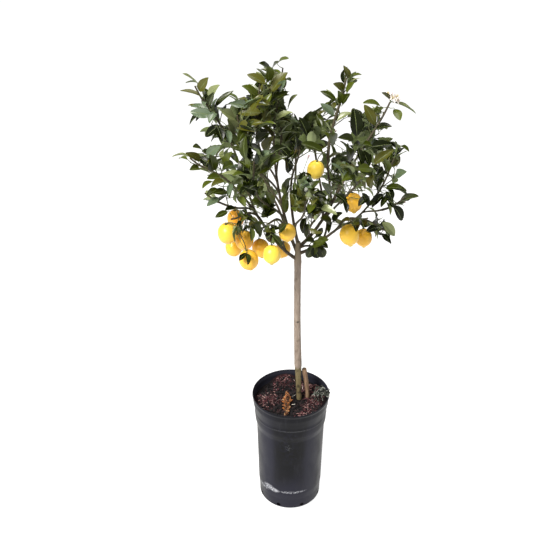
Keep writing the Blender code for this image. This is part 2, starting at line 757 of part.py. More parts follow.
def grow_stalks(mass, limbs):
    """Each lemon's stalk comes to its top from the nearest place above it with a clear way down."""
    for shape, top in mass.lemons:
        places = [shoot.at(0.06 + i / 12)[0] for shoot in mass.shoots for i in range(11)]
        places.sort(key=lambda p: (p - top).length + 2.0 * max(0.0, top.z + 0.006 - p.z))
        for place in places:
            leave = ((top - place).normalized() + UP * 0.2).normalized()
            line = curve_points(place, leave, top - UP * 0.004, -UP, 4)
            stalk = Shoot(line, STALK_RADIUS, STALK_RADIUS)
            tree = tree_of(tube(line, [2.0 * STALK_RADIUS] * 4, 3))
            if not any(other.overlap(tree) for other_shape, other in limbs if other_shape is not shape):
                break
        mass.stalks.append(stalk)


def touches(limbs, tree):
    return any(limb.overlap(tree) for _, limb in limbs)


def leaf_fits(leaf, mass, masses, limbs, own):
    if not all(mass.holds(p, masses) for p in leaf.samples()):
        return False
    tree = tree_of(leaf.mesh())
    if touches(limbs, tree):
        return False
    middle = leaf.base + leaf.way * (leaf.length / 2.0)
    for i, (place, reach, other) in enumerate(mass.blockers):
        if i != own and (place - middle).length < reach + leaf.length * 0.6 and other.overlap(tree):
            return False
    return True


def grow_leaf(mass, masses, limbs, own, place, frame, row, spread, length):
    """Tries a leaf over the next row of the twig, then the others and shorter, until one fits."""
    chance = mass.random
    tilt = Vector([chance.uniform(-0.35, 0.35) for _ in range(3)])
    outward = (place - CROWN_CENTRE).normalized()
    for attempt in range(TRIES):
        turn = math.pi / 3.0 + (row + attempt) * 2.0 * math.pi / 3.0 + chance.uniform(-0.3, 0.3)
        leave = (around(frame, turn, spread) + UP * 0.06).normalized()
        leaf = Leaf(place, leave, frame[0] * 0.4 + UP * 0.5 + outward * 0.45 + tilt, length)
        if leaf_fits(leaf, mass, masses, limbs, own):
            mass.leaves.append(leaf)
            mass.block(leaf.mesh())
            return
        length *= 0.93


def grow_leaves(mass, masses, limbs):
    """Leaves stand round each shoot in three rows, smaller towards its tip, and one ends it."""
    chance = mass.random
    for shoot in mass.shoots + mass.stalks:
        mass.block(shoot.mesh())
    for own, shoot in enumerate(mass.shoots):
        first = 0.12 if own == 0 else 0.30
        row = chance.randrange(3)
        count = max(2, round(shoot.length * (1.0 - first) / LEAF_SPACING))
        for k in range(count):
            share = first + (0.96 - first) * k / count
            place, frame = shoot.at(share)
            row += chance.choice((1, 1, 1, 2))
            spread = math.radians(chance.uniform(46.0, 68.0) - 22.0 * share)
            length = mass.growth.leaf * (1.14 - 0.42 * share) * chance.uniform(0.84, 1.14)
            grow_leaf(mass, masses, limbs, own, place, frame, row, spread, length)
        place, frame = shoot.at(1.0)
        length = mass.growth.leaf * chance.uniform(0.62, 0.84)
        if own > 0 or not mass.growth.flower:
            grow_leaf(mass, masses, limbs, own, place - frame[0] * 0.003, frame, row, 0.2, length)


def flower(place, ahead):
    """(points, faces) of an open flower: five petals as one star, hollowed a little."""
    first, second = across(ahead)
    points = [place - ahead * 0.0030, place + ahead * 0.0006]
    for k in range(10):
        turn = math.pi * k / 5.0
        radius, rise = (PETAL_LENGTH, 0.0050) if k % 2 else (0.38 * PETAL_LENGTH, 0.0006)
        points.append(place + (first * math.cos(turn) + second * math.sin(turn)) * radius + ahead * rise)
    faces = []
    for k in range(10):
        j = (k + 1) % 10
        faces += [(0, 2 + j, 2 + k), (1, 2 + k, 2 + j)]
    return points, faces


def grow_flower(mass):
    """An open flower at the end of the stem."""
    place, (ahead, _, _) = mass.shoots[0].at(1.0)
    mass.flowers.append(flower(place, ahead))


def grow_crown(lines):
    """Every mass, grown in the order of the boughs."""
    masses = [Mass(bough, lines[bough.name]) for bough in BOUGHS]
    shapes = [tube(points, [r + LIMB_GAP for r in radii], TRUNK_SIDES) for points, radii in lines.values()]
    limbs = [(None, tree_of_all(shapes))]
    chance = random.Random(LEMON_SEED)
    for mass in masses:
        grow_lemons(mass, chance)
        limbs += [(shape, tree_of(shape)) for shape, _ in mass.lemons]
    for mass in masses:
        grow_mass(mass, masses, limbs)
    return masses


def grow_mass(mass, masses, limbs):
    grow_stem(mass)
    grow_twigs(mass, masses, limbs)
    grow_stalks(mass, limbs)
    grow_leaves(mass, masses, limbs)
    if mass.growth.flower:
        grow_flower(mass)


def build_mass(mass, look):
    """Joins the mass's stem, twigs, stalks, lemons and leaves into one solid by one Boolean union."""
    name = "foliage_" + mass.name
    more = bpy.data.collections.new("joined")
    bpy.context.scene.collection.children.link(more)
    shapes = [shape for shape, _ in mass.lemons] + mass.flowers
    shapes += [grown.mesh() for grown in mass.shoots[1:] + mass.stalks + mass.leaves]
    for i, shape in enumerate(shapes):
        add_object(f"{name}_{i}", *shape, None, False, more)
    made = add_object(name, *mass.shoots[0].mesh(), look, False)
    modifier = made.modifiers.new("join", "BOOLEAN")
    modifier.operation = "UNION"
    modifier.operand_type = "COLLECTION"
    modifier.solver = "MANIFOLD"
    modifier.collection = more
    apply_modifier(made)
    for obj in list(more.objects):
        bpy.data.objects.remove(obj)
    bpy.data.collections.remove(more)
    return made


def main():
    clear_scene()
    build_pot(material("pot_plastic", (0.030, 0.032, 0.036), 0.45))
    soil = build_soil(material("soil", (0.060, 0.040, 0.030), 0.95))
    build_dry_leaf(material("dry_leaf", (0.48, 0.22, 0.07), 0.80))
    build_moss(material("moss", (0.18, 0.20, 0.16), 0.95), soil)
    bark = material("bark", (0.33, 0.26, 0.21), 0.85)
    stub_bark = material("stub_bark", (0.36, 0.22, 0.13), 0.85)
    foliage = material("foliage", (0.075, 0.130, 0.035), 0.45)
    lines = bough_lines()
    build_limbs(lines, bark, stub_bark)
    for mass in grow_crown(lines):
        build_mass(mass, foliage)


main()
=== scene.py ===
"""Looks of the potted four seasons lemon tree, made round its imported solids.

Blender 4.5, metres, +Z up, the frame of the solids. The crown grows again by the rule and the
seeds of its solids, and then goes on to finer twigs and leaves inside the same spaces.
"""

import json
import math
import random
from collections import namedtuple

import bmesh
import bpy
import numpy as np
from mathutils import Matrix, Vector, noise
from mathutils.bvhtree import BVHTree

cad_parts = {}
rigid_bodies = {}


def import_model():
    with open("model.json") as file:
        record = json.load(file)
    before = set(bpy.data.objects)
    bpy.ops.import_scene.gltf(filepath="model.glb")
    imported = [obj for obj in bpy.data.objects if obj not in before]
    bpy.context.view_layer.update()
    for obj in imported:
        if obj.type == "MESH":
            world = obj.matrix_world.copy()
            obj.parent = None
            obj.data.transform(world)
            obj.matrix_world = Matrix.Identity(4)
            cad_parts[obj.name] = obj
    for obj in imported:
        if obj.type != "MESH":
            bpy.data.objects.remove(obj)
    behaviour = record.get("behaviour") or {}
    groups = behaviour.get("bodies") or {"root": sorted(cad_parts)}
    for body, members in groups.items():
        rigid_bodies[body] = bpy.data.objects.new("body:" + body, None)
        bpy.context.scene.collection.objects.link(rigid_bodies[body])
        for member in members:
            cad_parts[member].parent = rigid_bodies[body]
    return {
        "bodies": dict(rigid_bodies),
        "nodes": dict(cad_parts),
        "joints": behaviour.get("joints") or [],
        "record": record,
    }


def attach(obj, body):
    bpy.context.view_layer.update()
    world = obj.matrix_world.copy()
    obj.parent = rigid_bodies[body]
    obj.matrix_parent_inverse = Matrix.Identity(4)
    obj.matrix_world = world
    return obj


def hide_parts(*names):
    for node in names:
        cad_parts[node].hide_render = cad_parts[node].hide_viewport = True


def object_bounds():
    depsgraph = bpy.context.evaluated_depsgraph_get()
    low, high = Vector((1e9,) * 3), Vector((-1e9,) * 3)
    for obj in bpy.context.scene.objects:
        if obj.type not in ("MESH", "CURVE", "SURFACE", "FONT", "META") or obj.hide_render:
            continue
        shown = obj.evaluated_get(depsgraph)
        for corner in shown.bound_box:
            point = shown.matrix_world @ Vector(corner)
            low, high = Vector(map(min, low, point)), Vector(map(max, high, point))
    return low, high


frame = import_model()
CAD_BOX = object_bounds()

UP = Vector((0.0, 0.0, 1.0))
FULL_TURN = 2.0 * math.pi
TOUCH_GAP = 0.0003

# Pot
POT_HEIGHT = 0.352
RIM_RADIUS = 0.105
WALL = 0.0022
DRAIN_HOLES = 8
DRAIN_RADIUS = 0.0060
DRAIN_HEIGHT = 0.014
POT_FLOOR = 0.0034
# Radius and height of the pot's outer side, from the foot up
POT_OUTER = (
    (0.0770, 0.0000), (0.0862, 0.0060), (0.0874, 0.0455), (0.0889, 0.0490), (0.0912, 0.1660),
    (0.0934, 0.2600), (0.0970, 0.2660), (0.0985, 0.3050), (0.1028, 0.3290), (0.1030, 0.3440),
    (0.1050, 0.3455), (RIM_RADIUS, POT_HEIGHT),
)

# Soil
SOIL_LEVEL = 0.3300
# Heaps and hollows of the soil: height, place, spread
SOIL_HEAPS = (
    (0.0085, -0.015, 0.080, 0.026), (0.0060, 0.078, 0.030, 0.024), (0.0040, 0.060, -0.060, 0.020),
    (-0.0130, -0.075, 0.050, 0.026), (-0.0070, -0.070, -0.045, 0.030), (-0.0120, 0.050, 0.082, 0.020),
)
# The soil is level within this distance of a stem, and rises to its full heaps over the next
LEVEL_SOIL = 0.024
LEVEL_FADE = 0.020

# Trunk
TRUNK_FOOT = Vector((0.0230, 0.000, SOIL_LEVEL + TOUCH_GAP))
TRUNK_TOP = Vector((0.0140, 0.000, 0.812))
TRUNK_RADIUS = 0.0084
TRUNK_FLARE = 0.0030
FLARE_HEIGHT = 0.020
GRAFT_HEIGHT = 0.428
GRAFT_SWELL = 0.0012
FORK_HEIGHT = 0.757
FORK_SWELL = 0.0014
TRUNK_TOP_RADIUS = 0.0058
TRUNK_SIDES = 12
TRUNK_BOW = 0.0035

# Stub of a second stem, cut off beside the trunk
STUB_FOOT = Vector((0.0465, 0.008, SOIL_LEVEL + TOUCH_GAP))
STUB_TOP = Vector((0.0352, 0.004, 0.427))
STUB_RADIUS = 0.0056

# A tuft of moss
MOSS_CENTRE = (0.0830, 0.0300)
MOSS_SIZE = (0.0105, 0.0200, 0.0080)
# How far out from the pot's axis it reaches below the rim and over it
MOSS_CLEAR, MOSS_OVERHANG = 0.0945, 0.1125
MOSS_RISE = 0.0075
# How far strands may pass MOSS_CLEAR, and how far the cushion under them stays inside it and is sunk
STRAND_SLACK, CUSHION_INSET, CUSHION_DROP = 0.003, 0.0015, 0.0035
MOSS_SEED = 3

# Growth
GOLDEN_TURN = math.radians(137.5)
LEAF_SPACING = 0.0185
LEAF_THICKNESS = 0.0012
LEAF_WIDTH_SHARE = 0.58
LEAF_MIDDLE_SHARE = 0.45
LEAF_ARCH_SHARE = 0.09
# Corners of the leaf's faces: 0 base, 1 left, 2 right, 3 tip, 4 the keel under the middle
LEAF_FACES = ((0, 2, 1), (1, 2, 3), (0, 1, 4), (0, 4, 2), (4, 1, 3), (2, 4, 3))
# Leaves stand in three rows, and now and then skip one
ROW_STEPS = (1, 1, 1, 2)
# A twig or a leaf is tried this often. How far each spreads from its parent, in degrees, and the leaf
# that ends a shoot, in radians. How a leaf tilts. The share that is left of the length at a next try
TRIES = 7
TWIG_SPREAD, LEAF_SPREAD, TIP_SPREAD = (42.0, 66.0), (46.0, 68.0), 0.2
LEAF_TILT = 0.35
TWIG_SHRINK, LEAF_SHRINK = 0.92, 0.93
# The turn to a twig's next try, and any turn at all
NEXT_TRY, ANY_TURN = (0.6, 1.2), (0.0, 6.28)
# The foot of a twig may touch what it grows from
TWIG_CLEAR = 0.006
STEM_RADIUS = 0.0024
STEM_TIP_RADIUS = 0.0015
TWIG_RADIUS = 0.0012
TWIG_TIP_RADIUS = 0.0010
STALK_RADIUS = 0.0012
# A mass's space ends this far outside its twigs' reach, and has to be nearer its stem than any other
# mass's by this much
TIP_REACH = 0.030
SPACE_GAP = 0.0030
LIMB_GAP = 0.0012
CROWN_CENTRE = Vector((0.0, 0.0, 0.96))

# Finer growth: where on its shoot a finer twig starts, its share of the mass's reach, spread and radii
FINE_SHARE = (0.10, 0.92)
FINE_REACH = (0.34, 0.62)
FINE_SPREAD = (38.0, 64.0)
FINE_RADIUS, FINE_TIP_RADIUS = 0.0009, 0.0006
# Its leaves: length as a share of the mass's, spacing, spread, tilt, and what is left at a next try
FINE_LEAF = (0.70, 1.00)
FINE_LEAF_SPACING = 0.0125
FINE_LEAF_SPREAD = (44.0, 66.0)
FINE_TILT, FINE_LEAF_SHRINK = 0.45, 0.95
# A finer leaf's foot may touch other leaves this far along its rib
RIB_CLEAR = 0.005

LEMON_SIDES = 8
LEMON_SEED = 5
# A lemon's length as a multiple of its widest radius
LEMON_STRETCH = 2.5
# Share of the length from the stalk, and share of the widest radius
LEMON_RINGS = ((0.10, 0.46), (0.34, 0.94), (0.66, 0.94), (0.90, 0.42))


class Bough:
    """One limb: it leaves its parent at a share of the parent's length and ends at the foot of its mass."""

    def __init__(self, name, parent, share, tip, crown_tip, foot_radius=0.0036, tip_radius=0.0024):
        self.name = name
        self.parent = parent
        self.share = share
        self.tip = Vector(tip)
        self.crown_tip = Vector(crown_tip)
        self.foot_radius = foot_radius
        self.tip_radius = tip_radius


# name, parent, where on the parent it starts, tip of the bough, tip of the stem of its foliage
BOUGHS = (
    Bough("left", "trunk", 0.895, (-0.149, -0.020, 0.978), (-0.234, -0.040, 1.044), 0.0046),
    Bough("left_low", "left", 0.66, (-0.139, -0.055, 0.930), (-0.201, -0.075, 0.974), 0.0030),
    Bough("left_fruit", "left", 0.42, (-0.098, -0.070, 0.922), (-0.142, -0.105, 0.923), 0.0032),
    Bough("left_top", "left", 0.60, (-0.145, 0.030, 1.054), (-0.219, 0.000, 1.197), 0.0032),
    Bough("top", "trunk", 0.925, (-0.045, 0.030, 1.037), (-0.025, 0.030, 1.229), 0.0044),
    Bough("column", "top", 0.70, (-0.079, -0.010, 1.062), (-0.075, -0.005, 1.221), 0.0030),
    Bough("upper_left", "top", 0.60, (-0.100, -0.060, 1.052), (-0.123, -0.090, 1.160), 0.0031),
    Bough("front_left", "top", 0.34, (-0.084, -0.110, 0.987), (-0.086, -0.185, 1.092), 0.0032),
    Bough("back_left", "top", 0.46, (-0.111, 0.110, 0.992), (-0.158, 0.190, 1.056), 0.0032),
    Bough("upper_back", "top", 0.78, (-0.028, 0.085, 1.042), (-0.031, 0.115, 1.111), 0.0030),
    Bough("centre", "trunk", 0.985, (-0.005, -0.005, 0.961), (0.014, -0.035, 1.062), 0.0042),
    Bough("front_centre", "centre", 0.28, (0.021, -0.085, 0.921), (0.024, -0.170, 1.006), 0.0031),
    Bough("back_mid", "centre", 0.55, (0.009, 0.120, 0.967), (0.000, 0.210, 1.020), 0.0032),
    Bough("front_fruit", "left", 0.16, (-0.030, -0.022, 0.880), (-0.086, -0.085, 0.885), 0.0028),
    Bough("right", "trunk", 0.965, (0.147, 0.000, 1.031), (0.214, 0.000, 1.161), 0.0046),
    Bough("upright", "right", 0.36, (0.056, 0.075, 1.000), (0.045, 0.100, 1.096), 0.0031),
    Bough("spire", "right", 0.50, (0.081, 0.020, 1.021), (0.117, 0.035, 1.205), 0.0033),
    Bough("front_right", "right", 0.30, (0.115, -0.070, 0.960), (0.144, -0.150, 1.046), 0.0032),
    Bough("back_right", "right", 0.50, (0.144, 0.110, 0.986), (0.192, 0.190, 1.022), 0.0032),
    Bough("right_low", "trunk", 0.930, (0.162, -0.020, 0.880), (0.227, -0.030, 0.856), 0.0042),
    Bough("right_fruit", "right_low", 0.60, (0.126, -0.050, 0.897), (0.170, -0.085, 0.916), 0.0028),
    Bough("right_mid", "right_low", 0.86, (0.192, -0.020, 0.940), (0.225, -0.045, 1.046), 0.0032),
    Bough("right_out", "right_mid", 0.42, (0.207, -0.038, 0.915), (0.254, -0.055, 0.953), 0.0027),
    Bough("low_back", "trunk", 0.945, (-0.050, 0.100, 0.889), (-0.102, 0.185, 0.919), 0.0040),
    Bough("low_back_right", "right_low", 0.42, (0.094, 0.090, 0.905), (0.136, 0.170, 0.925), 0.0030),
    Bough("inner", "right", 0.13, (0.040, -0.045, 0.874), (0.070, -0.070, 0.935), 0.0028),
    Bough("tuft", "trunk", 0.955, (0.0235, -0.006, 0.801), (0.071, -0.028, 0.815), 0.0022, 0.0022),
)


# The upper sides' greens, and how often each is dealt to the leaves of a mass and to small young ones. The
# deepest green, near black, is painted shade, and the blue-grey one is a painted sheen. The darker shares
# deal more painted shade to the masses at the back, the left and the right, the blue share more painted sheen
# to the masses at the upper left and front, and the olive share more olive and light greens to the masses at
# the top, partly as painted light
SHADE_GREEN, DARK_GREEN, MID, OLIVE_GREEN, SHEEN_GREY, LIGHT_GREEN = range(6)
DARK, MIXED = (9.5, 6, 4, 2.5, 1.2, 0.9, 0.1), (7.5, 4.5, 5, 2.5, 2.0, 2.2, 0.4)
OLIVE, BLUE = (2.5, 2.5, 6, 9, 0.8, 4.2, 0.5), (10, 6, 3, 3, 3.0, 1.2, 0.2)
SHADY = (16, 10, 3, 1.5, 2.2, 0.5, 0.1)
YOUNG_GREENS = (5, 5, 5, 4, 1.5, 1.6, 0.4)

# How one mass grows: seed, twigs, how far they reach, leaf length, finer twigs on each shoot, how its
# greens are dealt, lemons as their centre and widest radius, and whether a flower ends its stem
Growth = namedtuple("Growth", "seed twigs reach leaf fine greens lemons flower", defaults=((), False))
GROWTH = {
    "left": Growth(227, 5, 0.068, 0.058, 3, SHADY),
    "left_low": Growth(71, 4, 0.060, 0.056, 3, SHADY),
    "left_fruit": Growth(266, 3, 0.055, 0.050, 2, MIXED, (
        ((-0.137, 0.000, 0.873), 0.0205),
        ((-0.152, -0.075, 0.871), 0.0235),
        ((-0.143, -0.010, 0.800), 0.0205),
        ((-0.115, -0.055, 0.843), 0.0215),
        ((-0.103, -0.110, 0.820), 0.0225),
    )),
    "left_top": Growth(269, 5, 0.060, 0.058, 3, BLUE),
    "top": Growth(96, 8, 0.065, 0.058, 5, OLIVE),
    "column": Growth(238, 5, 0.065, 0.060, 5, OLIVE),
    "upper_left": Growth(207, 6, 0.070, 0.062, 5, BLUE),
    "front_left": Growth(375, 6, 0.070, 0.064, 5, SHADY),
    "back_left": Growth(2, 6, 0.080, 0.062, 5, DARK),
    "upper_back": Growth(294, 5, 0.060, 0.056, 5, DARK),
    "centre": Growth(80, 4, 0.060, 0.058, 3, MIXED),
    "front_centre": Growth(348, 5, 0.070, 0.054, 3, BLUE),
    "back_mid": Growth(67, 5, 0.080, 0.060, 5, DARK),
    "front_fruit": Growth(178, 3, 0.050, 0.048, 2, MIXED, (
        ((-0.077, -0.030, 0.809), 0.0205),
        ((-0.050, -0.095, 0.826), 0.0205),
        ((-0.014, -0.070, 0.871), 0.0200),
        ((-0.023, 0.035, 0.771), 0.0190),
    )),
    "right": Growth(129, 5, 0.065, 0.060, 3, DARK, flower=True),
    "upright": Growth(93, 5, 0.065, 0.056, 5, OLIVE),
    "spire": Growth(195, 6, 0.050, 0.047, 2, OLIVE, (
        ((0.051, -0.015, 1.005), 0.0200),
    )),
    "front_right": Growth(51, 6, 0.070, 0.058, 3, DARK, (
        ((0.138, -0.055, 0.940), 0.0205),
    )),
    "back_right": Growth(128, 6, 0.080, 0.062, 5, DARK),
    "right_low": Growth(46, 4, 0.055, 0.054, 3, MIXED),
    "right_fruit": Growth(248, 3, 0.050, 0.050, 2, MIXED, (
        ((0.132, -0.065, 0.862), 0.0230),
        ((0.171, -0.020, 0.832), 0.0200),
    )),
    "right_mid": Growth(173, 6, 0.062, 0.058, 3, DARK),
    "right_out": Growth(236, 4, 0.055, 0.056, 2, DARK),
    "low_back": Growth(145, 6, 0.080, 0.060, 5, DARK),
    "low_back_right": Growth(247, 6, 0.080, 0.060, 5, DARK),
    "inner": Growth(223, 4, 0.050, 0.046, 2, MIXED),
    "tuft": Growth(206, 1, 0.035, 0.044, 0, DARK),
}

# The photo's camera: its place, how far it looks down, its lens, and its picture in pixels
EYE = Vector((-0.039, -1.741, 1.703))
CAMERA_DIP = 29.59
CAMERA_LENS = 52.08
PHOTO_MIDDLE, PHOTO_FOCAL = 276.5, 800.0
DIP_COS, DIP_SIN = math.cos(math.radians(CAMERA_DIP)), math.sin(math.radians(CAMERA_DIP))

# Where the photo shows sky, or a lemon with nothing before it: pixel across, pixel down, radius in pixels
PHOTO_GAPS = (
    # Inside the crown
    (210, 170, 5), (262, 232, 3), (275, 176, 8), (275, 205, 9), (284, 183, 4), (291, 217, 4), (293, 100, 5),
    (294, 107, 6), (297, 166, 6), (297, 225, 4), (300, 113, 5), (302, 165, 7), (303, 211, 4), (303, 226, 4),
    (308, 84, 16), (313, 156, 4), (316, 103, 6), (328, 234, 4), (331, 169, 4), (336, 143, 4), (343, 126, 9),
    (343, 137, 3), (346, 190, 3), (348, 182, 4), (349, 184, 4), (357, 192, 3), (376, 134, 3), (377, 203, 6),
    (391, 169, 4),
    # Before the lemons
    (226, 236, 8), (233, 219, 6), (243, 238, 6), (262, 248, 6), (272, 254, 8), (315, 168, 8),
    (348, 236, 10), (353, 203, 8), (363, 238, 7),
    # Round the outline, from the left over the top
    (181, 149, 4), (182, 102, 4), (184, 112, 7), (184, 198, 15), (186, 165, 6), (187, 175, 5), (189, 85, 5),
    (190, 97, 4), (190, 146, 5), (194, 162, 3), (196, 70, 7), (196, 141, 6), (196, 180, 6), (197, 98, 4),
    (200, 209, 8), (202, 124, 6), (203, 194, 4), (205, 74, 5), (206, 140, 5), (206, 176, 4), (207, 67, 6),
    (207, 86, 3), (212, 208, 3), (215, 95, 4), (216, 82, 6), (216, 124, 4), (219, 142, 3), (219, 204, 3),
    (221, 222, 5), (223, 101, 4), (225, 87, 4), (225, 119, 5), (228, 109, 3), (229, 207, 3), (232, 85, 5),
    (237, 91, 4), (240, 79, 7), (243, 91, 4), (250, 65, 7), (250, 81, 3), (253, 81, 3), (260, 60, 3),
    (268, 52, 5), (268, 60, 3), (278, 50, 5), (279, 187, 4), (280, 67, 4), (281, 238, 2), (283, 70, 2),
    (286, 180, 3), (287, 100, 3), (290, 58, 5), (291, 84, 5), (293, 67, 8), (302, 157, 3), (306, 103, 6),
    (323, 254, 3), (325, 114, 3), (327, 100, 3), (334, 172, 3), (337, 73, 4), (340, 150, 3), (346, 108, 5),
    (356, 103, 3), (358, 92, 8), (359, 106, 3), (365, 208, 4), (368, 214, 5), (370, 92, 5), (370, 104, 4),
    (378, 91, 5), (378, 134, 3), (378, 241, 3), (380, 120, 4), (381, 99, 4), (382, 121, 4), (384, 80, 9),
    (385, 134, 3), (386, 216, 4), (387, 91, 4), (387, 104, 3), (387, 117, 4), (388, 134, 3), (389, 180, 3),
    (391, 113, 3), (392, 182, 3), (393, 108, 3), (396, 220, 6), (397, 90, 4), (398, 127, 7), (398, 196, 3),
    (399, 139, 4), (399, 240, 4), (400, 208, 3), (402, 111, 3), (403, 143, 4), (404, 172, 3), (405, 106, 3),
    (405, 161, 4), (407, 93, 7), (408, 232, 9), (410, 121, 6), (410, 161, 7), (410, 190, 4), (412, 132, 8),
    (414, 186, 6), (415, 211, 9), (417, 176, 7), (424, 196, 5),
)
# A grown leaf keeps this many pixels off a shown one that it would hide
SHOWN_CLEAR = 5.0

